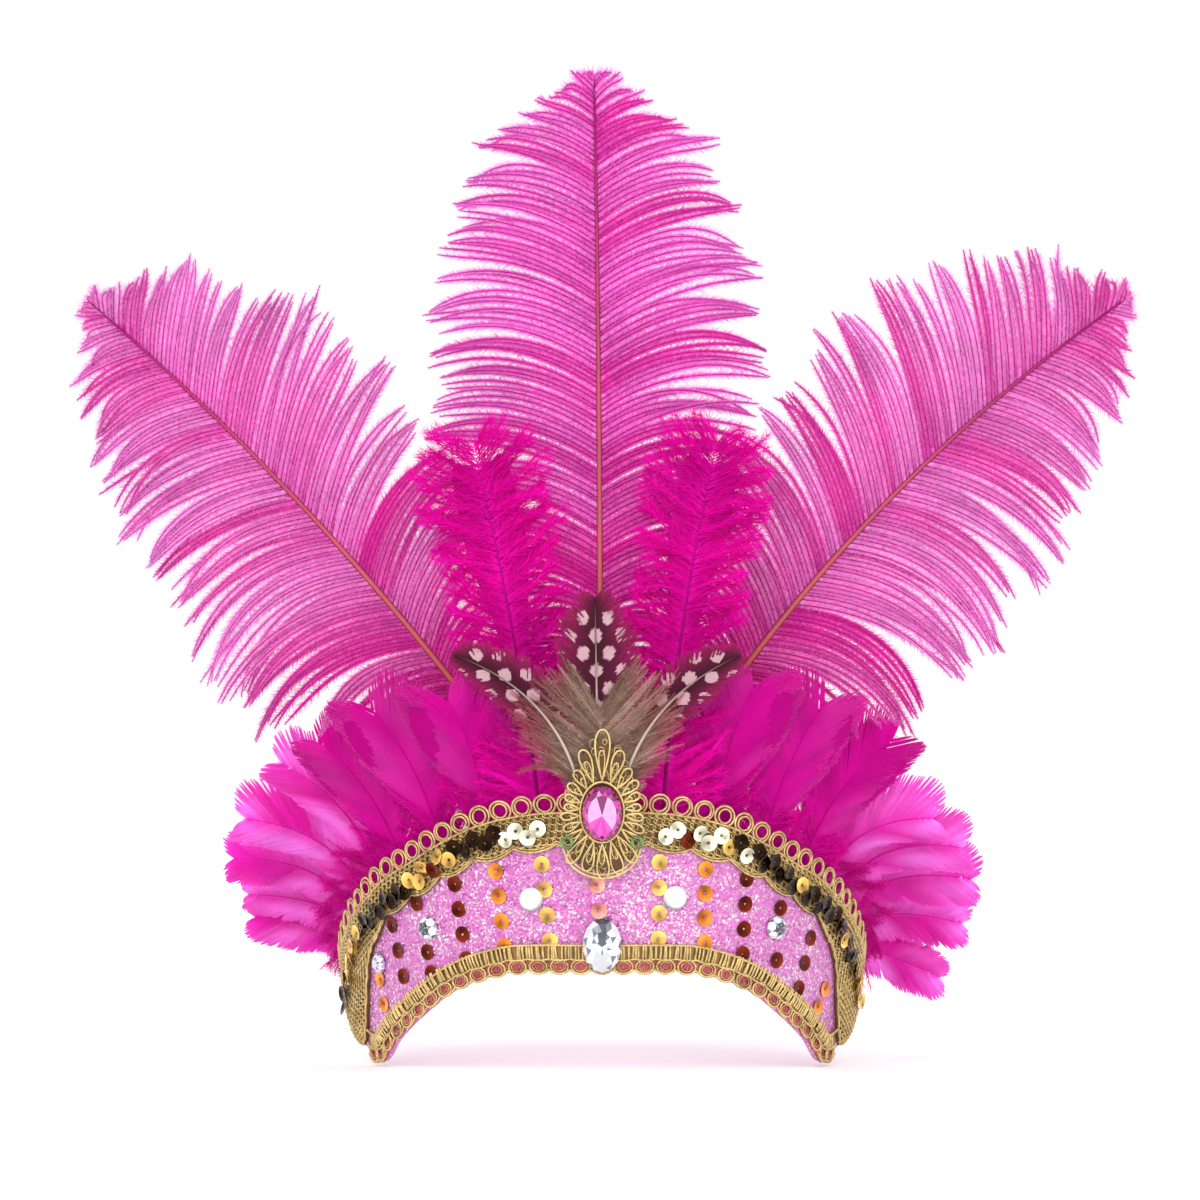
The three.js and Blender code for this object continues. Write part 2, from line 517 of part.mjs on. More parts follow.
// A heading that leans from upright towards +X and back towards +Y.
function heading(lean, back) {
  const level = Math.cos(radians(back));
  return new THREE.Vector3(level * Math.sin(radians(lean)), Math.sin(radians(back)), level * Math.cos(radians(lean)));
}

// A feather: a quill and a vane of locks, closed in one skin of rings across its spine.
function feather(row) {
  const kind = KINDS[row.kind];
  const length = kind.length * row.long;
  const foot = bandEdge('top', row.turn) - quillSeat * row.drop;
  const quill = Math.min(kind.ply, 1.2);
  const behind = -bandWall - seatGap - quill / 2;
  const root = onBand(row.turn, foot, row.layer ? stackOffset(row.layer) + kind.ply / 2 : behind);
  const [start, end] = [heading(row.lean, row.back), heading(row.tipLean, row.tipBack)];
  const face = new THREE.Vector3(Math.sin(radians(row.facing)), -Math.cos(radians(row.facing)), 0);
  const spine = (t) => root.clone().addScaledVector(start, length * (t - (t * t) / 2)).addScaledVector(end, (length * t * t) / 2);
  const point = (t, across, width, depth, shift) => {
    const along = start.clone().lerp(end, t).normalize();
    const side = new THREE.Vector3().crossVectors(along, face).normalize();
    const front = new THREE.Vector3().crossVectors(side, along);
    return spine(t).addScaledVector(side, across * width).addScaledVector(front, depth).addScaledVector(along, shift);
  };
  const inner = kind.columns.slice(1, -1);
  const ringAt = (t, left, right, thick, lock) => {
    const place = (across, face_) => {
      const share = Math.abs(across);
      const width = across < 0 ? left : right;
      const vane = lock === null ? 0 : 1;
      const depth = vane * width * (kind.cup * share * share + kind.relief * share * lock);
      const shift = vane * width * (kind.sweep * share - kind.droop * share * share);
      return point(t, across, width, depth + (face_ * thick * (1 - share)) / 2, shift);
    };
    return [place(-1, 0), ...inner.map((c) => place(c, 1)), place(1, 0), ...[...inner].reverse().map((c) => place(c, -1))];
  };
  const rings = [];
  [0, 0.5, 1].forEach((share) => rings.push(ringAt(share * row.bare * 0.96, quillWidth / 2, quillWidth / 2, quill, null)));
  const rows = kind.locks * 2;
  for (let i = 0; i <= rows; i += 1) {
    const u = i / rows;
    const tip = i % 2 === 0 ? 0 : 1;
    const cut = (tip ? 1 - 0.06 * Math.abs(Math.sin(2.3 * i)) : kind.notch);
    const wide = Math.max(quillWidth / 2, kind.halfWidth * read(kind.outline, 'along', 'wide', u) * cut);
    const thick = kind.ply + (quill - kind.ply) * Math.abs(2 * u - 1) ** 3;
    const lean = row.swell * Math.sign(row.turn) * (0.5 - u);
    const widen = (side) => 1 + lean * side * (lean * side * (0.5 - u) > 0 ? 1 : 0.5);
    const [left, right] = [row.left * wide * widen(-1), row.right * wide * widen(1)];
    rings.push(ringAt(row.bare + (1 - row.bare) * u, left, right, thick, tip ? 1 : -1));
  }
  return joinedRings(rings);
}

add('band', band(), 0xd66ec4, 0.5, 0.1);
add('upper_braid', upperBraid(), 0xbea05f, 0.45, 0.7);
add('lower_braid', lowerBraid(), 0xbea05f, 0.45, 0.7);
add('elastic_strap', strap(), 0xd66ec4, 0.8, 0);
add('sequin_string_left', sequinString(-1), 0xc79a4a, 0.25, 0.6);
add('sequin_string_right', sequinString(1), 0xc79a4a, 0.25, 0.6);

const centreSeat = bandFrame(0, centreStoneHeight / 2 + 1, stackOffset(1));
add('centre_stone', cutStone(centreStoneWidth, centreStoneHeight, centreStoneDepth, 12), 0xe8ecf0, 0.05, 0)
  .applyMatrix4(centreSeat);
for (const { name, turn, height, size, colour } of STONES) {
  const round = 2 * stoneRadius * size;
  add(name, cutStone(round, round, stoneDepth * size, 8), colour, 0.08, 0)
    .applyMatrix4(bandFrame(turn, height * bandHeight, seatGap));
}

add('ornament_filigree', ornament(), 0xcdb478, 0.4, 0.7);
add('ornament_gem', cutStone(ornamentGemWidth, ornamentGemHeight, ornamentGemDepth, 12), 0xdc3cb0, 0.05, 0)
  .applyMatrix4(ornamentFrame(0, 0));
for (const [name, side] of [['green_bead_left', -1], ['green_bead_right', 1]]) {
  const bead = new THREE.TorusGeometry(beadRadius, beadCord, 5, 10);
  add(name, bead, 0x7a9a3c, 0.2, 0)
    .applyMatrix4(ornamentFrame(side * 0.235 * ornamentHeight, -0.2 * ornamentHeight)
      .multiply(new THREE.Matrix4().makeTranslation(0, 0, beadCord)));
}
for (const row of FEATHERS) add(row.name, feather(row), KINDS[row.kind].colour, 0.85, 0);

export default group;
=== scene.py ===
import math

import bpy
import numpy as np
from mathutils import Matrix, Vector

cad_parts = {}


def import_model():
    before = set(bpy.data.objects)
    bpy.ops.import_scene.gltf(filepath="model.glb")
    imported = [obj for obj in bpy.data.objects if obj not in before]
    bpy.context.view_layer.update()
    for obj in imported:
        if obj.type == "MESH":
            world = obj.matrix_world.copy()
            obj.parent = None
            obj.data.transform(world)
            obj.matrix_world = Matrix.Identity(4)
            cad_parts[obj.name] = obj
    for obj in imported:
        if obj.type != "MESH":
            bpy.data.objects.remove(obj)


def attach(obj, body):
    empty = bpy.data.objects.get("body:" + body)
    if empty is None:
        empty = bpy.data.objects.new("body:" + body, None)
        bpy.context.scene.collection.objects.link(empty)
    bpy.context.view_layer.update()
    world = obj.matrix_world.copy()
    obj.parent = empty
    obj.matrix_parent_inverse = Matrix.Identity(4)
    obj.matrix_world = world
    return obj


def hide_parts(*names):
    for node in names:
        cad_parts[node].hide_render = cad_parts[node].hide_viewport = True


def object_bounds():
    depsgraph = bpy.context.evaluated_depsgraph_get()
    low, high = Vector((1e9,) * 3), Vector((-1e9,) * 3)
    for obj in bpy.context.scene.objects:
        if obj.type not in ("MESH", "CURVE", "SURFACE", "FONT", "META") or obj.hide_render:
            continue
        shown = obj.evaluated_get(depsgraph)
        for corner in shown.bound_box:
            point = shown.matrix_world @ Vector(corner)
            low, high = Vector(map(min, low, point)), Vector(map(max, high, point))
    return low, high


MM = 0.001

# Band and what is sewn to it
BAND_RADIUS = 88
BAND_FLARE = 0.1
BAND_HEIGHT = 53.5
BAND_HALF_TURN = 84
BAND_WALL = 2.4
SEAT_GAP = 0.3
BRAID_THICKNESS = 1.6
LOWER_BRAID_HEIGHT = 10
LOWER_BRAID_REACH = 0.765
SCALLOP_DEPTH = 1.6
SCALLOP_PITCH = 6.8
PICOT_PITCH = 7.4
PICOT_HEIGHT = 6.4
STRAP_WIDTH = 10
STRAP_THICKNESS = 1.4
STRAP_REACH = 95
STRAP_RISE = 8
STRAP_SEAT_TURN = 76
SEQUIN_RADIUS = 2.8
SEQUIN_THICKNESS = 0.8
SEQUIN_PITCH = 4.8
STRING_CROWD = 0.78
CENTRE_STONE = (12.8, 18, 5)
STONE_RADIUS = 4
STONE_DEPTH = 3
ORNAMENT_HEIGHT = 49
ORNAMENT_THICKNESS = 1.6
ORNAMENT_GEM = (13, 18.6, 4.6)
BEAD_RADIUS = 1.7
BEAD_CORD = 0.55

# Feathers
QUILL_SEAT = 11
QUILL_WIDTH = 2.2
FEATHER_PLY = 0.6
QUILL_PLY = 1.2

# Camera: the photograph's scale at the plane through the origin, in mm for each of its pixels
PHOTO_SIDE = 1200
PHOTO_SCALE = 0.34
PHOTO_MIDDLE = (602, 600)
CAMERA_DISTANCE = 2200
CAMERA_HEIGHT = 122.4
SENSOR = 36

# Edges of the band as shares of its height, by share of its half turn
BAND = {
    "turn": (0, 0.13, 0.215, 0.31, 0.405, 0.51, 0.62, 0.715, 0.8, 0.88, 0.94, 1),
    "top": (1, 0.99, 0.963, 0.903, 0.804, 0.673, 0.551, 0.411, 0.29, 0.159, 0.075, -0.019),
    "braid": (0.78, 0.77, 0.74, 0.68, 0.58, 0.45, 0.31, 0.05, -0.5, -0.439, -0.318, -0.215),
    "bottom": (0, 0, -0.006, -0.052, -0.136, -0.284, -0.449, -0.607, -0.542, -0.439, -0.318, -0.215),
}

# Middle line of each sequin string, in the same shares
STRING = {
    "turn": (0.15, 0.27, 0.405, 0.535, 0.655, 0.74, 0.82, 0.88, 0.92),
    "height": (0.87, 0.83, 0.7, 0.5, 0.35, 0.2, 0.02, -0.14, -0.26),
}

# Outline of the ornament as shares of its height from the middle of its gem, by turn from the tip
ORNAMENT = {
    "turn": (0, 20, 38, 52, 75, 100, 115, 135, 150, 165, 180),
    "reach": (0.55, 0.42, 0.335, 0.31, 0.27, 0.28, 0.305, 0.365, 0.415, 0.44, 0.45),
}

# Kinds of feather: length, half width, ply, sweep, cup, and the outline of a vane
KINDS = {
    "plume": {
        "length": 252, "half_width": 60, "ply": 2.2, "sweep": 0.7, "cup": 0.05,
        "along": (0, 0.1, 0.25, 0.45, 0.62, 0.78, 0.88, 0.95, 1),
        "wide": (0.5, 0.9, 0.98, 1, 0.9, 0.74, 0.55, 0.34, 0.05),
    },
    "marabou": {
        "length": 136, "half_width": 20, "ply": 3.6, "sweep": 0.5, "cup": 0.05,
        "along": (0, 0.3, 0.6, 0.8, 0.95, 1),
        "wide": (0.15, 0.55, 1, 0.95, 0.5, 0.1),
    },
    "goose": {
        "length": 66, "half_width": 19, "ply": 1.2, "sweep": 0.3, "cup": -0.08,
        "along": (0, 0.2, 0.45, 0.65, 0.85, 0.95, 1),
        "wide": (0.2, 0.6, 0.95, 1, 0.85, 0.55, 0.2),
    },
    "fan": {
        "length": 78, "half_width": 13, "ply": 1.2, "sweep": 0.4, "cup": -0.1,
        "along": (0, 0.3, 0.6, 0.85, 0.95, 1),
        "wide": (0.15, 0.6, 1, 0.9, 0.6, 0.2),
    },
    "guinea": {
        "length": 82, "half_width": 12, "ply": 0.6, "sweep": 0.4, "cup": 0,
        "along": (0, 0.25, 0.45, 0.6, 0.78, 0.92, 1),
        "wide": (0.12, 0.5, 1, 0.95, 0.66, 0.34, 0.06),
    },
    "down": {
        "length": 44, "half_width": 30, "ply": 0.6, "sweep": 0.35, "cup": 0,
        "along": (0, 0.25, 0.5, 0.75, 0.92, 1),
        "wide": (0.25, 0.72, 1, 0.8, 0.5, 0.15),
    },
}

# Feathers: turn where the quill is sewn, drop of its end, layer in front of the band (0 is behind
# it), shares of the kind's length and half widths, swell, bare share of the length, leans and
# backs at the quill's end and at the tip, and the turn that the vane faces
FEATHER_COLUMNS = (
    "kind", "turn", "drop", "layer", "long", "left", "right",
    "swell", "bare", "lean", "back", "tip_lean", "tip_back", "facing",
)
FEATHERS = {
    "plume_centre": ("plume", -0.6, 1, 0, 1.015, 0.96, 0.96, 0, 0.28, 0.4, 5.5, -1.2, 8.5, 0),
    "plume_left": ("plume", -6.5, 1, 0, 0.98, 0.93, 0.92, 0.6, 0.29, -34, 13, -49.5, 5, 0),
    "plume_right": ("plume", 5.5, 1, 0, 1.015, 0.98, 0.93, 0.6, 0.27, 30, 13, 55, 5, 0),
    "marabou_left": ("marabou", -12.5, 1, 0, 1, 1, 1.05, 0, 0.32, -6, -1, -14, 0, 0),
    "marabou_right": ("marabou", 12.5, 1, 0, 1.01, 0.95, 0.95, 0, 0.32, 3, -1, 13, 0, 0),
    "goose_left_front": ("goose", -24.5, 0.8, 0, 0.88, 1.1, 0.85, 0, 0.24, -3, -3, -30, -26, -12),
    "goose_left_middle": ("goose", -36, 0.8, 0, 1, 1, 0.95, 0, 0.24, -8, 2, -42, -16, -22),
    "goose_left_back": ("goose", -47, 0.8, 0, 1, 0.8, 0.85, 0, 0.24, -10, 10, -52, 0, -30),
    "goose_right_front": ("goose", 24.5, 0.8, 0, 0.94, 0.85, 1.1, 0, 0.24, 2, -3, 26, -26, 12),
    "goose_right_middle": ("goose", 36, 0.8, 0, 1, 1, 0.95, 0, 0.24, 8, 1, 36, -19, 22),
    "goose_right_back": ("goose", 47, 0.8, 0, 1.04, 0.8, 0.85, 0, 0.24, 12, 10, 54, 0, 30),
    "fan_left_a": ("fan", -55.5, 0.8, 0, 0.94, 0.95, 1, 0, 0.24, -8, 16, -64, 6, -30),
    "fan_left_b": ("fan", -62, 0.8, 0, 1.02, 0.95, 1, 0, 0.24, -12, 28, -86, 12, -30),
    "fan_left_c": ("fan", -67.5, 0.7, 0, 1.07, 0.85, 0.85, 0, 0.28, -16, 46, -92, 18, -30),
    "fan_left_d": ("fan", -71.5, 0.5, 0, 1.02, 0.65, 0.7, 0, 0.34, -14, 66, -90, 20, -30),
    "fan_left_e": ("fan", -75, 0.6, 0, 1.05, 0.85, 0.7, 0, 0.34, 0, 78, -84, 18, -40),
    "fan_right_a": ("fan", 55.5, 0.8, 0, 0.9, 1, 0.95, 0, 0.24, 10, 18, 92, 8, 30),
    "fan_right_b": ("fan", 61.5, 0.8, 0, 1.02, 0.95, 0.95, 0, 0.24, 14, 30, 100, 12, 30),
    "fan_right_c": ("fan", 67, 0.7, 0, 1.13, 0.95, 0.95, 0, 0.28, 16, 52, 100, 18, 30),
    "fan_right_d": ("fan", 71.5, 0.55, 0, 1.13, 0.8, 0.85, 0, 0.34, 14, 68, 104, 20, 30),
    "fan_right_e": ("fan", 75, 0.6, 0, 1.05, 0.7, 0.8, 0, 0.34, 0, 78, 116, 16, 40),
    "guinea_left": ("guinea", -3.2, 0.4, 1, 1.02, 0.75, 0.8, 0, 0.18, -5, -5.7, -70, -7, 0),
    "guinea_right": ("guinea", 2.6, 0.4, 1, 0.97, 0.8, 0.75, 0, 0.18, 6, -5.7, 66, -7, 0),
    "guinea_centre": ("guinea", -0.6, 0.4, 2, 0.9, 1.08, 1.08, 0, 0.2, -1, -5.7, -1, -6, 0),
    "guinea_down": ("down", -0.3, 0, 3, 0.94, 1.02, 0.98, 0, 0.08, 0, -5.7, 0, -6, 0),
}

# Small stones: turn in degrees, height as a share of the band's, and size
STONES = {
    "stone_white_left": (-14.8, 0.46, 1, "white"),
    "stone_white_right": (15.2, 0.47, 1, "white"),
    "stone_clear_left": (-39.5, 0.27, 1, "clear"),
    "stone_clear_right": (39.5, 0.27, 1, "clear"),
    "stone_lilac_left": (-56.5, 0.03, 0.85, "lilac"),
}

# Columns of sequins on the fabric: the photo's pixel under the first, the step in pixels to the
# next, how many there are, and their colour, which is a painted reflection: all are one copper-gold foil,
# painted peach, gold, orange or dark wine by what it mirrors
DOT_COLUMNS = ("first_u", "first_v", "step_u", "step_v", "count", "colour")
DOTS = (
    (542, 864, 2.7, 25.5, 4, "gold"), (496, 871, 3, 25, 4, "orange"), (455, 884, 4, 25, 4, "wine"),
    (417, 903, 5, 23.5, 1, "wine"), (428, 952, 4, 21, 2, "wine"), (393, 925, 5.5, 25.5, 3, "wine"),
    (381, 979, 4, 25, 2, "orange"), (659, 862, -0.3, 25.5, 4, "gold"), (705, 869, -0.3, 24.5, 4, "orange"),
    (746, 879, -1.3, 25, 4, "wine"), (780, 908, -4, 26, 1, "wine"), (776, 960, -4, 26, 1, "wine"),
    (810, 938, -6, 25, 3, "wine"), (824, 989, -7, 18, 2, "orange"), (597, 885, 2, 26, 2, "peach"),
)

# Colours of the sequins of each string, one letter each, from its inner end. c and d are gold sequins under a
# painted highlight and in painted shade
LETTERS = {"c": "painted_gold_highlight", "d": "painted_gold_shade", "g": "gold", "w": "wine"}
STRING_COLOURS = {-1: "cccddddgwggdddddddgggggdddgdd", 1: "cwccgdcddddgddddddgdddggggddg"}

COLOURS = {
    "magenta": (224, 8, 170), "deep": (208, 0, 148), "fuzz": (236, 122, 220), "haze": (246, 164, 230),
    "dark": (160, 4, 116), "veil": (246, 138, 236), "veil_rich": (238, 44, 202), "leaf": (214, 4, 154),
    "leaf_deep": (190, 0, 134), "tip": (150, 42, 118), "salmon": (244, 138, 122), "rust": (150, 16, 60),
    "pale": (226, 204, 190), "taupe": (152, 114, 94), "beige": (208, 180, 162), "rose": (186, 56, 96),
    "maroon": (62, 12, 32), "wine_edge": (150, 26, 90), "spot": (192, 154, 162), "fabric": (214, 110, 196),
    "gold": (240, 190, 100), "orange": (232, 138, 52), "wine": (108, 36, 16), "peach": (246, 158, 140),
    "painted_gold_highlight": (252, 247, 216), "painted_gold_shade": (44, 26, 14), "cord": (226, 200, 138), "cord_low": (170, 134, 78),
    "net": (172, 76, 84), "olive": (104, 84, 48), "clear": (214, 218, 226), "painted_dark_grey": (70, 74, 84),
    "white": (246, 246, 250), "lilac": (182, 166, 222), "gem": (206, 40, 170), "gem_light": (244, 176, 234),
    "gem_deep": (120, 8, 84), "green": (96, 136, 54), "elastic": (214, 112, 190),
}

# Seeds of the random detail, so that every run gives the same model
UPPER_BRAID_SEED = 31
LOWER_BRAID_SEED = 37
STRING_SEED = 41
DOT_SEED = 43
FILIGREE_SEED = 53
FEATHER_SEED = 100

# Barbs: how much pulls and lengths vary, how far strays go, and where a vane is trimmed or its tip
# narrows and rises as a tuft, each as a first share of the vane and a span
PULL_SPREAD = 0.15
BARB_SPREAD = (0.93, 1)
STRAY_SPREAD = 0.12
STRAY_MOST = 0.13
TRIMMED = (0.5, 0.35)
TUFT_NARROWS = (0.8, 0.14)
TUFT_NARROWING = 0.44
TUFT_RISES = (0.9, 0.1)
TUFT_RISE = 0.75
TUFT_BEND = 1.5
LOW_VANE = 0.65

# Barbules: spread of their angle in degrees, of their length, width and shade, and how much of the
# tip's colour they take
HAIR_ANGLE_SPREAD = 10
HAIR_LENGTHS = (0.55, 1.1)
HAIR_WIDTHS = (0.7, 1.2)
HAIR_SHADES = (0.82, 1.14)
HAIR_TIP_SHARE = 0.55
FRONT = (0.0, -1.0, 0.0)

CORE_ROWS = 24
CORE_COLUMNS = 9
CORE_REACH = 0.88
RACHIS_STEPS = 48
RACHIS_SIDES = 8
WEB_DEPTH = 0.12
MARABOU_GLOW = np.array([1.24, 1.24, 1.4])
SPOT_ROWS = 5.8
SPOT_COLUMNS = 8.3
SPOT_RADIUS = 2.15

# How far from the band's inner face feathers may swell for each mm, beside the picots and above
TUCK_SLOPE = 0.3
FREE_SLOPE = 1.6

# Steps along the band that parts of it are drawn with
FINE_STEPS = 1200
BAND_STEPS = 180
UPPER_STEPS = 360
LOWER_STEPS = 300
STRAP_STEPS = 120

# Braids: offsets of their ground, loops by half width, half height, cord and offset or colour, the
# upper one's knit of wavy cords, and the lower one's ribs
BRAID_GROUND = (0.2, 0.8)
UPPER_PICOTS = ((3.3, 3.25, 0.85, 1.05), (2.3, 2.35, 0.7, 1.25))
LOWER_PICOTS = ((3.0, 2.3, 0.8, "cord_low"), (2.0, 1.5, 0.36, "rose"))
UPPER_PICOT_MIDDLE = 2.9
LOWER_PICOT_MIDDLE = 2.75
LOWER_PICOT_OFFSET = 1.25
KNIT_ROWS = 20
KNIT_LOOPS = 112
KNIT_STEPS = 7
KNIT_PITCH = 2.2
KNIT_WAVE = (1.05, 1.0, 0.34)
KNIT_CORD = 0.74
RIB_PITCH = 1.12
RIB_FOOT = 5.2
RIB_HEAD = 9.7
LOOP_STEPS = 20

# Sequins: reach of each ring of corners from the hole to the rim and the ply, as shares of the radius,
# and the painted shade of each ring up the front and down the back, darkest around the hole
SEQUIN_SIDES = 16
SEQUIN_REACHES = (0.17, 0.36, 0.72, 1)
SEQUIN_PLY = 0.05
SEQUIN_PAINTED_SHADES = (0.45, 0.8, 1.05, 1.0, 1.1, 1.0, 0.85, 0.5)
DOT_RADIUS = 2.7
DOT_OFFSET = 0.18

# Cuts of stones: rise, reach and turn of each ring of corners, the turn in steps between corners
BRILLIANT = ((0, 0.94, 0), (0.26, 1, 0), (0.62, 0.82, 0.5), (0.86, 0.55, 0), (0.97, 0.28, 0.5))
BROAD_TABLE = ((0, 0.94, 0), (0.26, 1, 0), (0.66, 0.88, 0.5), (0.9, 0.72, 0))
CABOCHON_LEVELS = 9
CABOCHON_SIDES = 28

# Ornament: its ground, its two rings of lobes by reach, spread, cord and lift, small rings between
# them, cords of its lower rim by inset, cord and lift, and the beads' places as shares of its height
LOBES = 22
LOBE_STEPS = 28
LOBE_RINGS = ((1.0, 0.44, 0.7, 1.25), (0.8, 0.24, 0.52, 1.0))
GROUND_RINGS = 9
GROUND_STEPS = 96
RINGS = 95
RING_STEPS = 12
RIM_STEPS = 120
RIM_TURNS = (128, 232)
RIM_CORDS = ((0.3, 0.9, 1.1), (1.5, 0.7, 1.0))
BEAD_PLACE = (0.235, -0.2)
BEAD_STEPS = 28
BEAD_SIDES = 10

# Glitter: sizes of its grains and its clouds in mm, and its colours from dark to bright
GLITTER_GRAIN = 0.62
GLITTER_CLOUD = 16
GLITTER_STOPS = (
    (0.12, (0.42, 0.07, 0.34, 1)), (0.4, (0.66, 0.14, 0.52, 1)), (0.64, (0.58, 0.2, 0.44, 1)),
    (0.8, (0.62, 0.37, 0.54, 1)), (0.92, (0.86, 0.78, 0.82, 1)),
)

# Materials that take their colours from the mesh
LOOKS = {
    "ostrich": {"rough": (0.55, 0.75), "through": 0.38, "grain": 1.2, "vary": 0.14, "specular": 0.15},
    "fluff": {"rough": (0.6, 0.8), "through": 0.4, "grain": 2.5, "vary": 0.12, "specular": 0.12},
    "satin": {"rough": (0.5, 0.62), "through": 0.3, "grain": 0.7, "vary": 0.12, "specular": 0.06},
    "dark_feather": {"rough": (0.5, 0.65), "through": 0.12, "grain": 0.6, "vary": 0.12, "specular": 0.12},
    "gold_cord": {
        "rough": (0.3, 0.46), "metal": 0.55, "grain": 0.45, "vary": 0.3, "bump": 0.5, "bump_size": 0.35},
    "foil_and_painted_reflection": {"rough": (0.1, 0.24), "metal": 0.85, "grain": 2.0, "vary": 0.1, "specular": 0.2},
    "veil": {"rough": (0.42, 0.55), "through": 0.5, "grain": 0.7, "vary": 0.1, "specular": 0.15},
    "facets": {
        "rough": (0.03, 0.08), "metal": 0.25, "coat": 1.0, "coat_rough": 0.02, "grain": 3.0, "vary": 0.06},
    "pearl": {"rough": (0.12, 0.2), "coat": 1.0, "grain": 3.0, "vary": 0.03},
    "enamel": {"rough": (0.15, 0.25), "coat": 0.8, "grain": 1.0, "vary": 0.15},
    "elastic": {"rough": (0.7, 0.85), "grain": 0.4, "vary": 0.2, "bump": 0.6, "bump_size": 0.5, "sheen": 0.3},
}

# Lamps: place and size in metres, power in watts
LAMPS = (
    ("key", (-0.9, -1.6, 1.5), 15, 1.1), ("fill", (1.2, -1.5, 0.8), 8, 1.2),
    ("spark", (-0.35, -2.1, 0.75), 6, 0.12), ("back", (0.2, 1.5, 1.1), 9, 1.2),
)
LAMP_AIM = (0, 0, 0.1)
FLOOR_RADIUS = 7
FLOOR_GAP = 0.0006
SKY_STRENGTH = 1.03


def colour(name):
    """A named colour as linear red, green and blue."""
    c = np.array(COLOURS[name]) / 255
    return np.where(c <= 0.04045, c / 12.92, ((c + 0.055) / 1.055) ** 2.4)


def unit(v):
    return v / np.maximum(np.linalg.norm(v, axis=-1, keepdims=True), 1e-12)


def blend(a, b, share):
    share = np.asarray(share, float)[..., None]
    return a * (1 - share) + b * share


def ramp(value, start, span):
    """Rises from 0 at start to 1 at the end of a span, and is level outside it."""
    return np.clip((value - start) / span, 0, 1)


def circle(count):
    """Angles that part a full turn into equal steps."""
    return np.arange(count) * 2 * np.pi / count


def grid_quads(rows, columns, closed=False):
    """Quads between the points of a grid. closed joins each row's end to its start."""
    ids = np.arange(rows * columns).reshape(rows, columns)
    if closed:
        ids = np.column_stack([ids, ids[:, 0]])
    return np.stack([ids[:-1, :-1], ids[:-1, 1:], ids[1:, 1:], ids[1:, :-1]], -1).reshape(-1, 4)


def read(table, by, column, at):
    """Reads a column of a table between its rows, on a smooth curve that never overshoots them."""
    x, y = np.array(table[by], float), np.array(table[column], float)
    at = np.asarray(at, float)
    rise = np.diff(y) / np.diff(x)
    product = rise[:-1] * rise[1:]
    level_off = product <= 0
    middle = np.where(level_off, 0, 2 * product / np.where(level_off, 1, rise[:-1] + rise[1:]))
    slope = np.concatenate([[rise[0]], middle, [rise[-1]]])
    i = np.searchsorted(x[1:-1], at, side="left")
    step = x[i + 1] - x[i]
    t = (at - x[i]) / step
    level = y[i] * (1 + 2 * t) * (1 - t) ** 2 + y[i + 1] * t * t * (3 - 2 * t)
    return level + step * (slope[i] * t * (1 - t) ** 2 - slope[i + 1] * t * t * (1 - t))


def band_edge(column, turn):
    return BAND_HEIGHT * read(BAND, "turn", column, np.abs(turn) / BAND_HALF_TURN)


def on_band(turn, height, offset):
    """Places on the band. offset is measured outwards from its outer face."""
    turn, height, offset = np.broadcast_arrays(*(np.asarray(v, float) for v in (turn, height, offset)))
    radius = BAND_RADIUS + BAND_FLARE * height + offset
    angle = np.radians(turn)
    return np.stack([radius * np.sin(angle), -radius * np.cos(angle), height], -1)


def even_turns(start, end, pitch, height_at):
    """Turns that part a line on the band into equal lengths."""
    turns = np.linspace(start, end, FINE_STEPS + 1)
    line = on_band(turns, height_at(turns), 0)
    run = np.concatenate([[0], np.cumsum(np.linalg.norm(np.diff(line, axis=0), axis=1))])
    return np.interp(np.linspace(0, run[-1], max(2, round(run[-1] / pitch)) + 1), run, turns)


def stack_offset(layer):
    return SEAT_GAP + BRAID_THICKNESS + SEAT_GAP + (layer - 1) * (FEATHER_PLY + SEAT_GAP)


class Soup:
    """Vertices, faces and a colour at each vertex, gathered for one mesh."""

    def __init__(self):
        self.places, self.tints, self.quads, self.tris, self.count = [], [], [], [], 0

    def add(self, places, tint, quads=None, tris=None):
        places = np.asarray(places, float).reshape(-1, 3)
        tint = np.asarray(tint, float)
        tint = np.broadcast_to(tint, places.shape) if tint.ndim == 1 else tint.reshape(-1, 3)
        self.places.append(places)
        self.tints.append(tint)
        if quads is not None:
            self.quads.append(np.asarray(quads, np.int64).reshape(-1, 4) + self.count)
        if tris is not None:
            self.tris.append(np.asarray(tris, np.int64).reshape(-1, 3) + self.count)
        self.count += len(places)


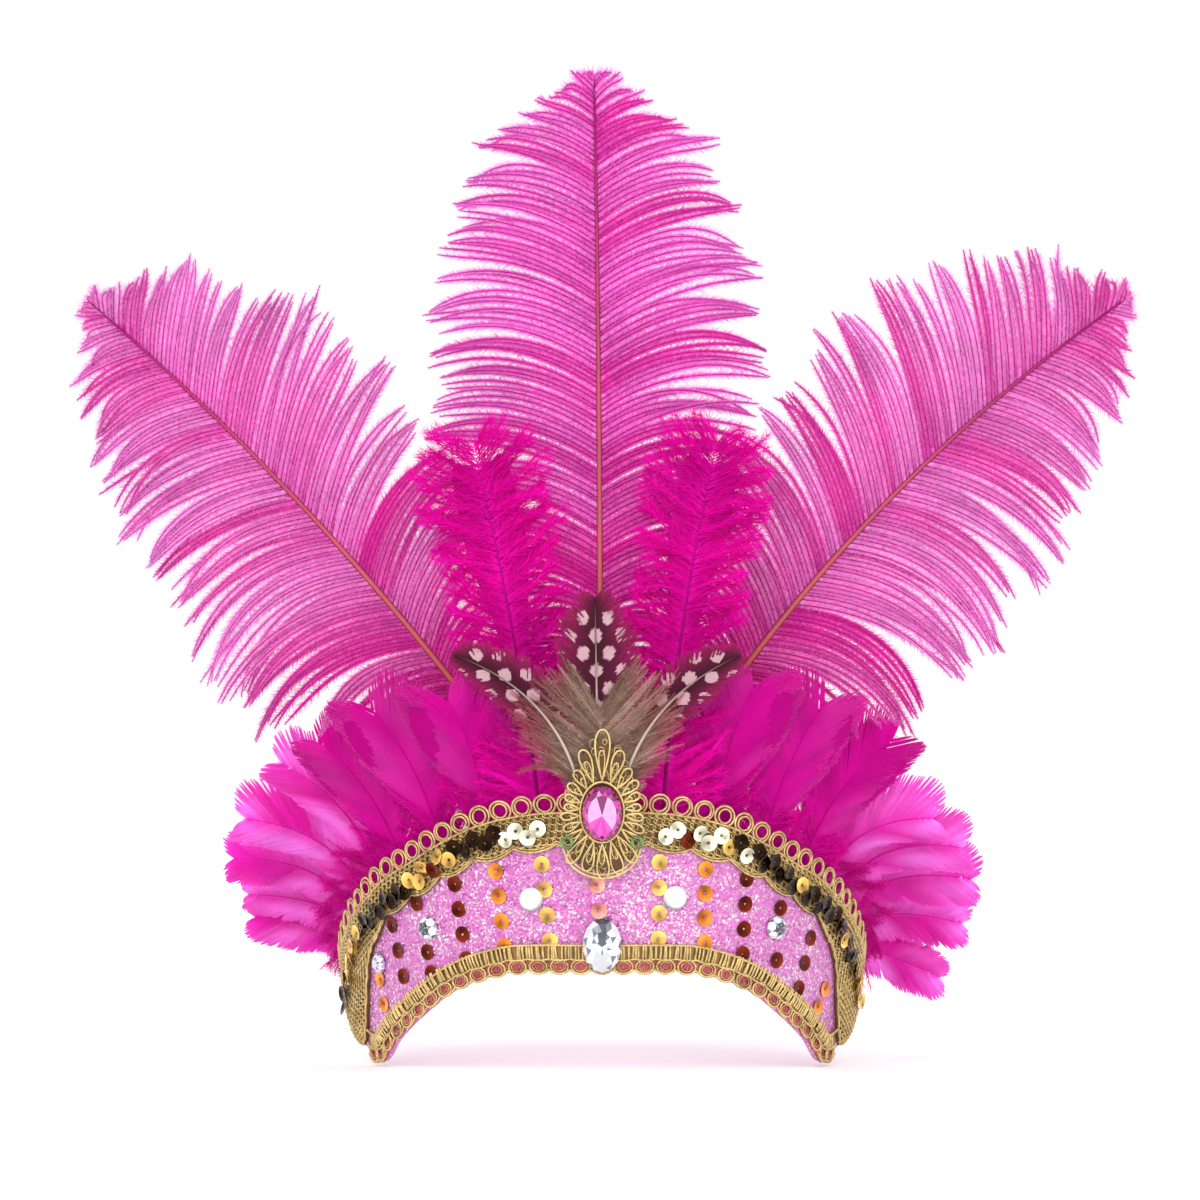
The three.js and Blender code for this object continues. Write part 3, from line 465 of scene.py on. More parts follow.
def piece(name, material, slot, nodes, build, *values, smooth=True):
    """One mesh from what build puts in a soup. It rides on the root and stands for its CAD nodes."""
    soup = Soup()
    build(soup, *values)
    places, tints = np.concatenate(soup.places) * MM, np.concatenate(soup.tints)
    quads = np.concatenate(soup.quads) if soup.quads else np.zeros((0, 4), np.int64)
    tris = np.concatenate(soup.tris) if soup.tris else np.zeros((0, 3), np.int64)
    used, order = np.unique(np.concatenate([quads.ravel(), tris.ravel()]), return_inverse=True)
    places, tints = places[used], tints[used]
    quads, tris = order[: quads.size].reshape(-1, 4), order[quads.size :].reshape(-1, 3)
    mesh = bpy.data.meshes.new(name)
    mesh.vertices.add(len(places))
    mesh.vertices.foreach_set("co", places.astype(np.float32).ravel())
    mesh.loops.add(quads.size + tris.size)
    mesh.loops.foreach_set("vertex_index", np.concatenate([quads.ravel(), tris.ravel()]).astype(np.int32))
    mesh.polygons.add(len(quads) + len(tris))
    starts = np.concatenate([np.arange(len(quads)) * 4, quads.size + np.arange(len(tris)) * 3])
    mesh.polygons.foreach_set("loop_start", starts.astype(np.int32))
    mesh.polygons.foreach_set("use_smooth", np.full(len(starts), smooth))
    layer = mesh.attributes.new("tint", "FLOAT_COLOR", "POINT")
    layer.data.foreach_set("color", np.column_stack([tints, np.ones(len(tints))]).astype(np.float32).ravel())
    mesh.update(calc_edges=True)
    mesh.validate()
    mesh.materials.append(material)
    obj = bpy.data.objects.new(name, mesh)
    bpy.context.scene.collection.objects.link(obj)
    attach(obj, "root")
    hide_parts(*nodes)


def strands(paths, widths, front, sides=2, closed=False):
    """Tapered strands along paths (n, m, 3): flat ribbons that face front, or tubes."""
    if closed:
        tangent = unit(np.roll(paths, -1, 1) - np.roll(paths, 1, 1))
    else:
        tangent = unit(np.gradient(paths, axis=1))
    across = unit(np.cross(tangent, front))
    up = np.cross(across, tangent)
    half = np.broadcast_to(np.asarray(widths, float), paths.shape[:2])[..., None, None] / 2
    angle = circle(sides)
    ring = across[:, :, None] * np.cos(angle)[:, None] + up[:, :, None] * np.sin(angle)[:, None]
    places = paths[:, :, None] + ring * half
    ids = np.arange(places[..., 0].size).reshape(places.shape[:3])
    if closed:
        ids = np.concatenate([ids, ids[:, :1]], 1)
    near, far = ids[:, :-1], ids[:, 1:]
    if sides == 2:
        quads = np.stack([near[..., 0], near[..., 1], far[..., 1], far[..., 0]], -1)
    else:
        quads = np.stack([near, np.roll(near, -1, 2), np.roll(far, -1, 2), far], -1)
    return places, quads.reshape(-1, 4)


def ribbons(soup, paths, widths, front, tints, sides=2):
    """Strands with one colour for each (n, 3), or one for each of its points (n, m, 3)."""
    if tints.ndim == 2:
        tints = np.repeat(tints[:, None], paths.shape[1], 1)
    places, quads = strands(paths, widths, front, sides)
    soup.add(places, np.repeat(tints[:, :, None], sides, 2), quads=quads)


class Spine:
    """The curve of a feather's quill, its own frame along it, and the vane's half widths."""

    def __init__(self, name):
        self.row = dict(zip(FEATHER_COLUMNS, FEATHERS[name]))
        self.kind = KINDS[self.row["kind"]]
        row, kind = self.row, self.kind
        self.length = kind["length"] * row["long"]
        foot = band_edge("top", row["turn"]) - QUILL_SEAT * row["drop"]
        quill = min(kind["ply"], QUILL_PLY)
        behind = -BAND_WALL - SEAT_GAP - quill / 2
        ahead = stack_offset(row["layer"]) + kind["ply"] / 2
        self.root = on_band(row["turn"], foot, ahead if row["layer"] else behind)
        self.start = self.heading(row["lean"], row["back"])
        self.end = self.heading(row["tip_lean"], row["tip_back"])
        facing = math.radians(row["facing"])
        self.face = np.array([math.sin(facing), -math.cos(facing), 0])
        self.vane_length = self.length * (1 - row["bare"])

    @staticmethod
    def heading(lean, back):
        lean, back = math.radians(lean), math.radians(back)
        return np.array([math.cos(back) * math.sin(lean), math.sin(back), math.cos(back) * math.cos(lean)])

    def at(self, t):
        t = np.asarray(t, float)[..., None]
        return self.root + self.length * (self.start * (t - t * t / 2) + self.end * t * t / 2)

    def axes(self, t):
        t = np.asarray(t, float)[..., None]
        along = unit(self.start * (1 - t) + self.end * t)
        side = unit(np.cross(along, self.face))
        return along, side, np.cross(side, along)

    def t_at(self, u):
        return self.row["bare"] + (1 - self.row["bare"]) * np.asarray(u, float)

    def front(self, u):
        """The way that the vane faces at each barb."""
        return self.axes(self.t_at(u))[2][:, None]

    def half_width(self, side, u):
        """Half width on one side, -1 for left or 1 for right, at a share of the vane."""
        wide = self.kind["half_width"] * read(self.kind, "along", "wide", np.clip(u, 0, 1))
        wide = self.row["left" if side < 0 else "right"] * wide
        lean = self.row["swell"] * np.sign(self.row["turn"]) * (0.5 - u) * side
        return wide * (1 + lean * np.where(lean * (0.5 - u) > 0, 1, 0.5))


def barb_paths(spine, side, count, segments, rng, *, lock, pull, sway, layer, length, sweep=None, droop=0.0,
               tip_sweep=0.0, low_droop=0.0, steep=0.0, wander=0.0, start=0.0, reach=1.0, curl=0.0,
               floor=1.5, tuft=0.0, late=(1.6, 1.6), stray=0.0, trim=0.0):
    """Paths of the barbs on one side of a vane, gathered in locks, with each one's lock and share."""
    sweep = spine.kind["sweep"] if sweep is None else sweep
    u = start + (reach - start) * (np.arange(count) + rng.uniform(0.2, 0.8, count)) / count
    sizes = rng.integers(lock[0], lock[1] + 1, count)
    locks = np.searchsorted(np.cumsum(sizes), np.arange(count), side="right")
    total = locks.max() + 1
    centre = np.bincount(locks, u, total) / np.maximum(np.bincount(locks, minlength=total), 1)
    a = np.linspace(0, 1, segments + 1)[None]

    width = spine.half_width(side, u) * rng.uniform(*length, total)[locks] * rng.uniform(*BARB_SPREAD, count)
    width = np.maximum(width, floor * rng.uniform(0.8, 1, count) * np.clip(1.6 - 1.6 * u, 0.1, 1))
    width = width * (1 - trim * ramp(u, *TRIMMED))
    width = (width * (1 - TUFT_NARROWING * tuft * ramp(u, *TUFT_NARROWS) ** TUFT_BEND))[:, None]
    tight = rng.uniform(pull - PULL_SPREAD, min(pull + PULL_SPREAD, 1), total)[locks][:, None]
    gather = (centre[locks] - u)[:, None] * spine.vane_length * tight
    drift = (rng.normal(0, sway, total)[locks] + rng.normal(0, sway * 0.35, count))[:, None] * width
    astray = np.clip(rng.normal(0, STRAY_SPREAD, count), -STRAY_MOST, STRAY_MOST)
    drift = drift + (astray * (rng.uniform(0, 1, count) < stray))[:, None] * width
    share = u[:, None]
    ahead = sweep + steep + tip_sweep * np.clip(share, 0, 1) ** 4
    ahead = ahead + TUFT_RISE * tuft * ramp(share, *TUFT_RISES) ** TUFT_BEND
    late = rng.uniform(*late, total)[locks][:, None]
    falling = droop + low_droop * np.clip(LOW_VANE - share, 0, 1) / LOW_VANE
    shift = width * (ahead * a - falling * a * a) + gather * a**late + drift * a * a

    phase, rate = rng.uniform(0, 6, count)[:, None], rng.uniform(3, 7, count)[:, None]
    waves = rng.normal(0, wander, count)[:, None] * np.sin(a * rate + phase) * a
    depth = width * spine.kind["cup"] * a * a + rng.normal(0, layer, total)[locks][:, None] * a
    depth = depth + rng.normal(0, layer * 0.5, count)[:, None] * a + curl * width * a**3
    t = np.clip(spine.t_at(u) - steep * width[:, 0] / spine.length, 0.02, 1)
    along, across, front = (v[:, None] for v in spine.axes(t))
    places = spine.at(t)[:, None] + across * side * (a * width)[..., None]
    return places + along * (shift + waves)[..., None] + front * depth[..., None], locks, u


def barbules(soup, paths, tints, rng, per_mm, length, width, angle, tilt, taper, start=0.02, tip_tint=None,
             least=0.25, crowd=1.0):
    """Hairs on both sides of every barb, each a thin triangle that leans towards the barb's tip."""
    step = np.linalg.norm(np.diff(paths, axis=1), axis=2).sum(1)
    number = np.maximum((step * per_mm).astype(int), 2)
    which = np.repeat(np.arange(len(paths)), number)
    count = len(which)
    order = np.arange(count) - np.repeat(np.cumsum(number) - number, number)
    a = start + (1 - start) * ((order + rng.uniform(0, 1, count)) / number[which]) ** crowd
    spot = a * (paths.shape[1] - 1)
    i = np.minimum(spot.astype(int), paths.shape[1] - 2)
    near, far = paths[which, i], paths[which, i + 1]
    base = blend(near, far, spot - i)
    tangent = unit(far - near)
    across = unit(np.cross(tangent, FRONT))
    up = np.cross(across, tangent)
    lean = np.radians(rng.normal(0, tilt, count))[:, None]
    hand = np.where(order % 2 == 0, 1.0, -1.0)[:, None]
    outward = across * hand * np.cos(lean) + up * np.sin(lean)
    turn = np.radians(rng.normal(angle, HAIR_ANGLE_SPREAD, count))[:, None]
    heading = unit(tangent * np.cos(turn) + outward * np.sin(turn))
    long = length * ((1 - a**taper) * (1 - least) + least) * rng.uniform(*HAIR_LENGTHS, count)
    shade = tints[which] * rng.uniform(*HAIR_SHADES, count)[:, None]
    ends = shade
    if tip_tint is not None:
        tip_tint = tip_tint[which] if tip_tint.ndim == 2 else tip_tint
        ends = shade * (1 - HAIR_TIP_SHARE) + tip_tint * HAIR_TIP_SHARE
    half = (width * rng.uniform(*HAIR_WIDTHS, count))[:, None]
    side = unit(np.cross(heading, rng.normal(size=base.shape))) * half / 2
    corners = np.stack([base - side, base + side, base + heading * long[:, None]], 1)
    tints = np.clip(np.stack([shade, shade, ends], 1), 0, 1)
    soup.add(corners, tints, tris=np.arange(3 * count))


def rachis(soup, spine, base_width, tip_width, edge, middle, tip, end=0.995, proud=0.0, arch=0.0):
    """The quill: a tapered tube, paler along its middle, which stands proud of its barbs."""
    t = np.linspace(0, end, RACHIS_STEPS + 1)
    front = spine.axes(t)[2]
    lift = proud * np.minimum(1, t / max(spine.row["bare"], 0.01)) + arch * np.sin(np.pi * t)
    share = t / end
    width = base_width * (1 - share) ** 0.8 + tip_width
    path = spine.at(t) + front * lift[:, None]
    places, quads = strands(path[None], width[None], front[None], RACHIS_SIDES)
    facing = np.maximum(np.sin(circle(RACHIS_SIDES)), 0) ** 2
    rim = blend(edge, middle, facing)[None] * np.ones((RACHIS_STEPS + 1, 1, 1))
    soup.add(places, blend(rim, tip, (share**1.5)[:, None]), quads=quads)


def core(soup, spine, share, tint, thick, set_back):
    """A thin lens behind the middle of a dense vane, which stops light between its barbs."""
    u, a = np.linspace(0.02, CORE_REACH, CORE_ROWS)[:, None], np.linspace(-1, 1, CORE_COLUMNS)[None]
    t = spine.t_at(u[:, 0])
    along, across, front = (v[:, None] for v in spine.axes(t))
    wide = np.where(a < 0, spine.half_width(-1, u), spine.half_width(1, u)) * share
    width = np.abs(a) * wide
    middle = spine.at(t)[:, None] + across * (a * wide)[..., None]
    middle = middle + along * (width * spine.kind["sweep"])[..., None]
    for hand in (-1, 1):
        lift = width * spine.kind["cup"] * np.abs(a) + hand * thick / 2 * (1 - np.abs(a)) - set_back
        quads = grid_quads(CORE_ROWS, CORE_COLUMNS)[:, ::hand]
        soup.add(middle + front * lift[..., None], tint, quads=quads)


def patches(rng, knots, at, low=0.0, high=1.0):
    """Random levels that change smoothly along a line from 0 to 1."""
    level = rng.uniform(low, high, knots + 1)
    return np.interp(np.clip(at, 0, 1) * knots, np.arange(knots + 1), level)


def plume(soup, spine, rng):
    """An ostrich plume: long drooping barbs in locks, each with a fringe of fine barbules."""
    magenta, fuzz = colour("magenta"), colour("fuzz")
    outer = np.sign(spine.row["swell"] * spine.row["turn"])
    for side in (-1, 1):
        inner = outer and side != outer
        sweep, droop, tip_sweep, trim = (0.75, 0.26, 0.3, 0.3) if inner else (0.7, 0.45, 0.15, 0)
        paths, locks, u = barb_paths(
            spine, side, 116, 13, rng, lock=(2, 7), pull=0.7, sway=0.05, layer=2.0, length=(0.9, 1.05),
            sweep=sweep, droop=droop, tip_sweep=tip_sweep, low_droop=0.2, start=-0.07 if outer else -0.2,
            tuft=1, late=(2.6, 6.5), stray=0.08, wander=0.45, trim=trim)
        a = np.linspace(0, 1, paths.shape[1])
        paths[:, :, 1] += abs(outer) * 9 * np.clip(0.2 - u, 0, 0.3)[:, None] / 0.2 * a
        # Outer plumes get less rich locks here, and paler web and barbules below: painted light that makes up
        # for the deeper shade that falls on them.
        richness = rng.uniform(0, 0.85 if outer else 1, locks.max() + 1)[locks]
        richness = np.clip(richness + 1.2 * np.clip(0.4 - u, 0, 0.4), 0, 1)
        front = spine.front(u)
        share = np.broadcast_to(a, paths.shape[:2])
        shaft = blend(blend(colour("deep"), magenta, share**0.5 * 0.7), colour("tip"), share**5 * 0.8)
        ribbons(soup, paths, (0.5 if outer else 0.58) * (1 - a[None]) ** 0.6 + 0.14, front, shaft, 3)
        web = spine.vane_length / len(u) * (1.4 - 0.55 * a - 0.7 * a**6)
        pale = blend(colour("haze"), np.ones(3), 0.22 if outer else 0.02) * 0.93
        ribbons(soup, paths - WEB_DEPTH * front, web[None], front, blend(pale, magenta, 0.75 * richness**2))
        pale = blend(fuzz, np.ones(3), 0.2 if outer else 0) * 0.95
        barbules(soup, paths, blend(pale, magenta, 0.1 + 0.8 * richness**2), rng, per_mm=8.4, length=3.9,
                 width=0.28, angle=46, tilt=20, taper=7, least=0.2, crowd=1.1,
                 tip_tint=blend(fuzz * 1.06, magenta, 0.8 * richness))
    along = spine.at(spine.t_at(np.linspace(-0.07, 0.98, 60)))[None]
    barbules(soup, along, blend(fuzz, magenta, np.full(1, 0.5)), rng, per_mm=14, length=2.7, width=0.34,
             angle=44, tilt=10, taper=30, tip_tint=fuzz)
    rachis(soup, spine, QUILL_WIDTH, 0.5, colour("rust"), colour("salmon"), colour("dark"), proud=0.5)


def marabou(soup, spine, rng):
    """A dense soft feather: long wandering barbs and hair in front of a core."""
    for side in (-1, 1):
        paths, _, u = barb_paths(
            spine, side, 132, 8, rng, lock=(1, 4), pull=0.2, sway=0.17, layer=2.6, length=(0.92, 1.2),
            wander=1.2, start=-0.44, floor=20, reach=0.97, tip_sweep=0.4, tuft=0.7)
        a = np.linspace(0, 1, paths.shape[1])[None]
        tint = blend(colour("deep"), colour("magenta"), rng.uniform(0, 1, len(paths))) * MARABOU_GLOW
        low = (1 + 4 * np.clip(0.3 - u, 0, 0.5) - 0.5 * ramp(u, 0.4, 0.3))[:, None]
        ribbons(soup, paths, 0.9 * (1 - a) ** 0.8 * low + 0.09, spine.face, tint)
        barbules(soup, paths, tint, rng, per_mm=5.4, length=6.5, width=0.27, angle=30, tilt=50, taper=6,
                 tip_tint=colour("magenta"), least=0.5)
    rachis(soup, spine, 1.2, 0.3, colour("dark"), colour("dark"), colour("deep"), end=0.95)
    core(soup, spine, 0.5, colour("deep"), 0.7, 1.4)


def leaf(soup, spine, rng, count, ragged, glow, rich, deep, solid):
    """A smooth feather: flat barbs laid side by side, with a fringed edge and a few downy wisps."""
    for side in (-1, 1):
        paths, _, u = barb_paths(
            spine, side, count, 8, rng, lock=(5, 14), pull=0.15, sway=ragged, layer=0.3, length=(0.97, 1.05),
            steep=0.85, droop=0.05, curl=0 if solid else -0.05, floor=10, start=-0.3, tip_sweep=0.7,
            late=(3, 6))
        a = np.linspace(0, 1, paths.shape[1])[None]
        streak = np.clip(patches(rng, 9, u) + rng.normal(0, 0.07, len(u)), 0, 1)
        tint = blend(colour(rich), colour(deep), streak)
        bright = np.clip(patches(rng, 4, u, -0.5, 1.2), 0, 1)[:, None]
        light = bright * glow * np.sin(np.pi * np.clip(a, 0.1, 0.9)) + glow * 0.25 * a**3
        tints = blend(tint[:, None], colour("veil"), np.clip(light, 0, 1))
        width = spine.vane_length / count * 2.3 * (1 - 0.8 * a**4) + 0.12
        ribbons(soup, paths, width, spine.front(u), tints)
        barbules(soup, paths, tints[:, -2], rng, per_mm=1.1, length=1.8, width=0.16, angle=18, tilt=20,
                 taper=9, tip_tint=colour("veil"), start=0.6, least=0.6)
        wisps, _, low = barb_paths(
            spine, side, 26, 7, rng, lock=(2, 4), pull=0.4, sway=0.3, layer=1.0, length=(0.8, 1.2), sweep=0.6,
            wander=1.5, start=-0.34, floor=15, reach=0.12)
        soft = blend(colour("magenta"), colour("deep"), rng.uniform(0, 1, len(low)))
        b = np.linspace(0, 1, wisps.shape[1])[None]
        ribbons(soup, wisps, 0.5 * (1 - b) ** 0.7 + 0.1, spine.face, soft)
        barbules(soup, wisps, soft, rng, per_mm=5, length=4.2, width=0.2, angle=36, tilt=40, taper=5,
                 least=0.4)
    rachis(soup, spine, 0.9, 0.2, colour("leaf_deep"), colour(deep), colour(rich))
    if solid:
        core(soup, spine, 0.78, colour("leaf_deep"), 0.2, 1.0)


def guinea(soup, spine, rng):
    """A guinea fowl feather: dark barbs with pale spots in staggered rows, frayed at the edges."""
    for side in (-1, 1):
        paths, _, u = barb_paths(
            spine, side, 118, 24, rng, lock=(3, 8), pull=0.22, sway=0.05, layer=0.12, length=(0.94, 1.12),
            tip_sweep=1.4, sweep=0.95, droop=0.15)
        a = np.linspace(0, 1, paths.shape[1])[None]
        along, across, _ = spine.axes(0.75)
        local = paths - spine.at(1.0)
        down, over = -(local @ along), local @ across
        row = np.round(down / SPOT_ROWS)
        stagger = np.where(row % 2 == 0, 0, 0.5)
        column = np.round(over / SPOT_COLUMNS - stagger) + stagger
        away = np.hypot((down - row * SPOT_ROWS) * 0.92, (over - column * SPOT_COLUMNS) * 1.1)
        spot = (away < SPOT_RADIUS) & (row >= 1)
        edge = np.broadcast_to(a**2, away.shape)
        ground = blend(colour("maroon"), colour("wine_edge"), edge * 0.9)
        ground = blend(ground, colour("taupe"), np.clip(1 - u / 0.3, 0, 1)[:, None] * 0.9)
        streaked = rng.uniform(0, 1, len(u))[:, None] < 1.4 * edge - 0.3
        tints = np.where((spot & ~streaked)[..., None], colour("spot"), ground)
        width = spine.vane_length / len(u) * 1.5 * (1 - 0.7 * a**1.5) + 0.1
        ribbons(soup, paths, width, spine.front(u), tints)
        hair = blend(colour("wine_edge"), colour("rose"), rng.uniform(0, 1, len(u)))
        barbules(soup, paths, hair, rng, per_mm=1.6, length=1.9, width=0.12, angle=30, tilt=30, taper=2.5,
                 start=0.6)
    rachis(soup, spine, 1.05, 0.2, colour("pale") * 0.8, colour("pale"), colour("maroon"), proud=0.3,
           arch=2.6 if spine.row["layer"] == 1 else 0)


def down(soup, spine, rng):
    """The downy base of the guinea feathers: loose taupe barbs, rosy at their ends."""
    for side in (-1, 1):
        paths, locks, u = barb_paths(
            spine, side, 128, 9, rng, lock=(1, 4), pull=0.25, sway=0.2, layer=0.35, length=(0.8, 1.1),
            wander=0.9, tip_sweep=2.6, sweep=0.3, droop=0.1, steep=0.25, late=(1.5, 3), reach=0.84, trim=0.5)
        a = np.linspace(0, 1, paths.shape[1])[None]
        mixed = rng.uniform(0, 1, locks.max() + 1)[locks] ** 1.4 * 0.8 + rng.uniform(0, 0.3, len(u))
        base = blend(colour("taupe") * 0.72, colour("beige"), np.clip(mixed, 0, 1))
        rosy = np.clip(np.abs(paths[:, :, 0] - spine.root[0]) / 26, 0, 1) ** 2.6 * 0.85
        tints = blend(base[:, None], colour("rose"), rosy)
        ribbons(soup, paths, 0.3 * (1 - a) ** 0.7 + 0.1, spine.face, tints)
        half = paths.shape[1] // 2
        hair = {"length": 2.8, "angle": 36, "tilt": 14}
        barbules(soup, paths[:, : half + 2], base, rng, per_mm=6, width=0.15, taper=6, **hair)
        barbules(soup, paths[:, half:], tints[:, -3], rng, per_mm=5, width=0.12, taper=2, **hair)


def tucked(soup):
    """Holds the feathers' lower ends behind the band, and lets them swell out only above it."""
    for i, places in enumerate(soup.places):
        turn = np.degrees(np.arctan2(places[:, 0], -places[:, 1]))
        above = places[:, 2] - band_edge("top", np.clip(turn, -BAND_HALF_TURN, BAND_HALF_TURN))
        swell = TUCK_SLOPE * np.clip(above, 0, PICOT_HEIGHT)
        swell = swell + FREE_SLOPE * np.maximum(0, above - PICOT_HEIGHT)
        most = BAND_RADIUS + BAND_FLARE * places[:, 2] - BAND_WALL - SEAT_GAP + swell
        radius = np.hypot(places[:, 0], places[:, 1])
        held = (np.abs(turn) < BAND_HALF_TURN + 3) & (radius > most)
        share = np.where(held, most / radius, 1)[:, None]
        soup.places[i] = places * np.concatenate([share, share, np.ones_like(share)], 1)


# What makes each kind of feather, its material, its slot and what else it takes
FEATHER_MAKERS = {
    "plume": (plume, "ostrich", "ostrich_feather"),
    "marabou": (marabou, "fluff", "marabou_feather"),
    "goose": (leaf, "satin", "smooth_feather", 120, 0.02, 0.08, "leaf", "leaf_deep", True),
    "fan": (leaf, "veil", "smooth_feather", 100, 0.04, 1.2, "veil_rich", "magenta", False),
    "guinea": (guinea, "dark_feather", "spotted_feather"),
    "down": (down, "fluff", "taupe_down"),
}


def build_feather(soup, name, make, seed, *values):
    spine = Spine(name)
    make(soup, spine, np.random.default_rng(seed), *values)
    if not spine.row["layer"]:
        tucked(soup)


def strip(soup, turns, low, high, inner, outer, place, tint, rows, rounding=0.5):
    """A closed strip along turns with rounded edges, between two offsets of a surface."""
    radius = (outer - inner) / 2
    bend = np.linspace(0, np.pi, 5)[1:-1]
    share = np.linspace(0, 1, rows + 1)
    face = [(s, 1, 0) for s in share] + [(1, math.cos(b), math.sin(b)) for b in bend]
    back = [(s, -1, 0) for s in share[::-1]] + [(0, -math.cos(b), -math.sin(b)) for b in bend]
    loop = np.array(face + back)
    low, high = low[:, None], high[:, None]
    inset = radius * rounding
    height = low + inset + (high - low - 2 * inset) * loop[:, 0] + loop[:, 2] * inset
    turn = turns[:, None] * np.ones_like(height)
    offset = ((inner + outer) / 2 + radius * loop[:, 1]) * np.ones_like(height)
    k, opposite = np.arange(rows), 2 * rows + 1 + len(bend)
    cap = np.stack([k, k + 1, opposite - k - 1, opposite - k], -1)
    quads = [grid_quads(*height.shape, closed=True), cap[:, ::-1], cap + (len(turns) - 1) * len(loop)]
    tints = tint(turn, height) if callable(tint) else tint
    soup.add(place(turn, height, offset), tints, quads=np.concatenate(quads))


def flecked(soup, paths, width, rng, amount, front=None, sides=4, closed=False, tints=("cord", "cord_low"),
            glow=1.0, kept=None):
    """Round cords along paths (n, m, 3) in one colour, flecked at random with another."""
    base, low = (colour(name) for name in tints)
    flecks = np.clip(rng.uniform(-0.2, amount * 2, (*paths.shape[:2], sides)), 0, 1)
    front = unit(paths * [1, 1, 0]) if front is None else front
    places, quads = strands(paths, width, front, sides, closed)
    quads = quads if kept is None else quads.reshape(-1, sides, 4)[kept]
    soup.add(places, blend(base * glow, low, flecks), quads=quads)


# Materials
def node_material(name):
    made = bpy.data.materials.new(name)
    made.use_nodes = True
    tree = made.node_tree
    tree.nodes.clear()
    return made, tree


def add_node(tree, kind, inputs=(), output=0, **settings):
    """Adds a shader node and gives one of its outputs."""
    node = tree.nodes.new("ShaderNode" + kind)
    for key, value in settings.items():
        setattr(node, key, value)
    for key, value in dict(inputs).items():
        socket = node.inputs[key]
        if isinstance(value, bpy.types.NodeSocket):
            tree.links.new(value, socket)
        else:
            socket.default_value = value
    return node.outputs[output] if node.outputs else None


def noise(tree, place, size, detail=2.0):
    return add_node(tree, "TexNoise", {"Vector": place, "Scale": 1 / (size * MM), "Detail": detail}, "Fac")


def map_range(tree, value, start, end, low, high):
    return add_node(tree, "MapRange", {
        "Value": value, "From Min": start, "From Max": end, "To Min": low, "To Max": high})


def tinted_material(name, rough, grain, vary, metal=0.0, coat=0.0, coat_rough=0.1, through=0.0, bump=0.0,
                    bump_size=0.5, sheen=0.0, specular=0.5):
    """A surface in its own colours, varied by noise at a size given in mm."""
    made, tree = node_material(name)
    place = add_node(tree, "TexCoord", output="Object")
    tint = add_node(tree, "Attribute", output="Color", attribute_name="tint")
    fine = noise(tree, place, grain, 3.0)
    mixed = add_node(tree, "Math", {0: fine, 1: noise(tree, place, grain * 14)}, operation="ADD")
    value = map_range(tree, mixed, 0.6, 1.4, 1 - vary, 1 + vary)
    toned = add_node(tree, "HueSaturation", {"Color": tint, "Value": value})
    inputs = {
        "Base Color": toned, "Roughness": map_range(tree, fine, 0.3, 0.7, *rough), "Metallic": metal,
        "Coat Weight": coat, "Coat Roughness": coat_rough, "Sheen Weight": sheen,
        "Specular IOR Level": specular}
    if bump:
        inputs["Normal"] = add_node(tree, "Bump", {
            "Height": noise(tree, place, bump_size), "Strength": bump, "Distance": bump_size * MM * 0.4})
    shader = add_node(tree, "BsdfPrincipled", inputs)
    if through:
        glow = add_node(tree, "BsdfTranslucent", {"Color": toned})
        shader = add_node(tree, "MixShader", {0: through, 1: shader, 2: glow})
    add_node(tree, "OutputMaterial", {"Surface": shader})
    return made


def glitter_material(name):
    """Fabric under a crust of glitter: each grain has its own colour and tilt."""
    made, tree = node_material(name)
    place = add_node(tree, "TexCoord", output="Object")
    grains = add_node(tree, "TexVoronoi", {"Vector": place, "Scale": 1 / (GLITTER_GRAIN * MM)}, "Color")
    parts = add_node(tree, "SeparateColor", {"Color": grains}).node.outputs
    cloud = noise(tree, place, GLITTER_CLOUD, 3.0)
    shine = add_node(tree, "Math", {0: cloud, 1: 0.5, 2: parts[0]}, operation="MULTIPLY_ADD")
    shine = add_node(tree, "Math", {0: shine, 1: 0.74}, operation="MULTIPLY")
    tint = add_node(tree, "ValToRGB", {"Fac": shine}, "Color")
    stops = tint.node.color_ramp.elements
    stops[0].position, stops[0].color = GLITTER_STOPS[0]
    stops[1].position, stops[1].color = GLITTER_STOPS[-1]
    for position, shade in GLITTER_STOPS[1:-1]:
        stops.new(position).color = shade
    normal = add_node(tree, "NewGeometry", output="Normal")
    away = add_node(tree, "VectorMath", {0: grains, 1: (0.5, 0.5, 0.5)}, operation="SUBTRACT")
    lean = add_node(tree, "VectorMath", {0: away, "Scale": 0.9}, operation="SCALE")
    leant = add_node(tree, "VectorMath", {0: normal, 1: lean}, operation="ADD")
    tilted = add_node(tree, "VectorMath", {0: leant}, operation="NORMALIZE")
    shader = add_node(tree, "BsdfPrincipled", {
        "Base Color": tint, "Roughness": map_range(tree, parts[1], 0.0, 1.0, 0.18, 0.5), "Metallic": 0.25,
        "Coat Weight": 0.2, "Normal": tilted})
    add_node(tree, "OutputMaterial", {"Surface": shader})
    return made


# Band, braids, strap
def build_band(soup):
    turns = np.linspace(-BAND_HALF_TURN, BAND_HALF_TURN, BAND_STEPS + 1)

    def puffed(turn, height, offset):
        ripple = 0.12 * np.sin(turn * 0.9 + height * 0.11) * np.sin(height * 0.35 + turn * 0.2)
        return on_band(turn, height, offset + np.where(offset > -BAND_WALL / 2, ripple, 0))

    low, high = band_edge("bottom", turns) + 1, band_edge("top", turns) - 1
    strip(soup, turns, low, high, -BAND_WALL, 0, puffed, colour("fabric"), rows=14)


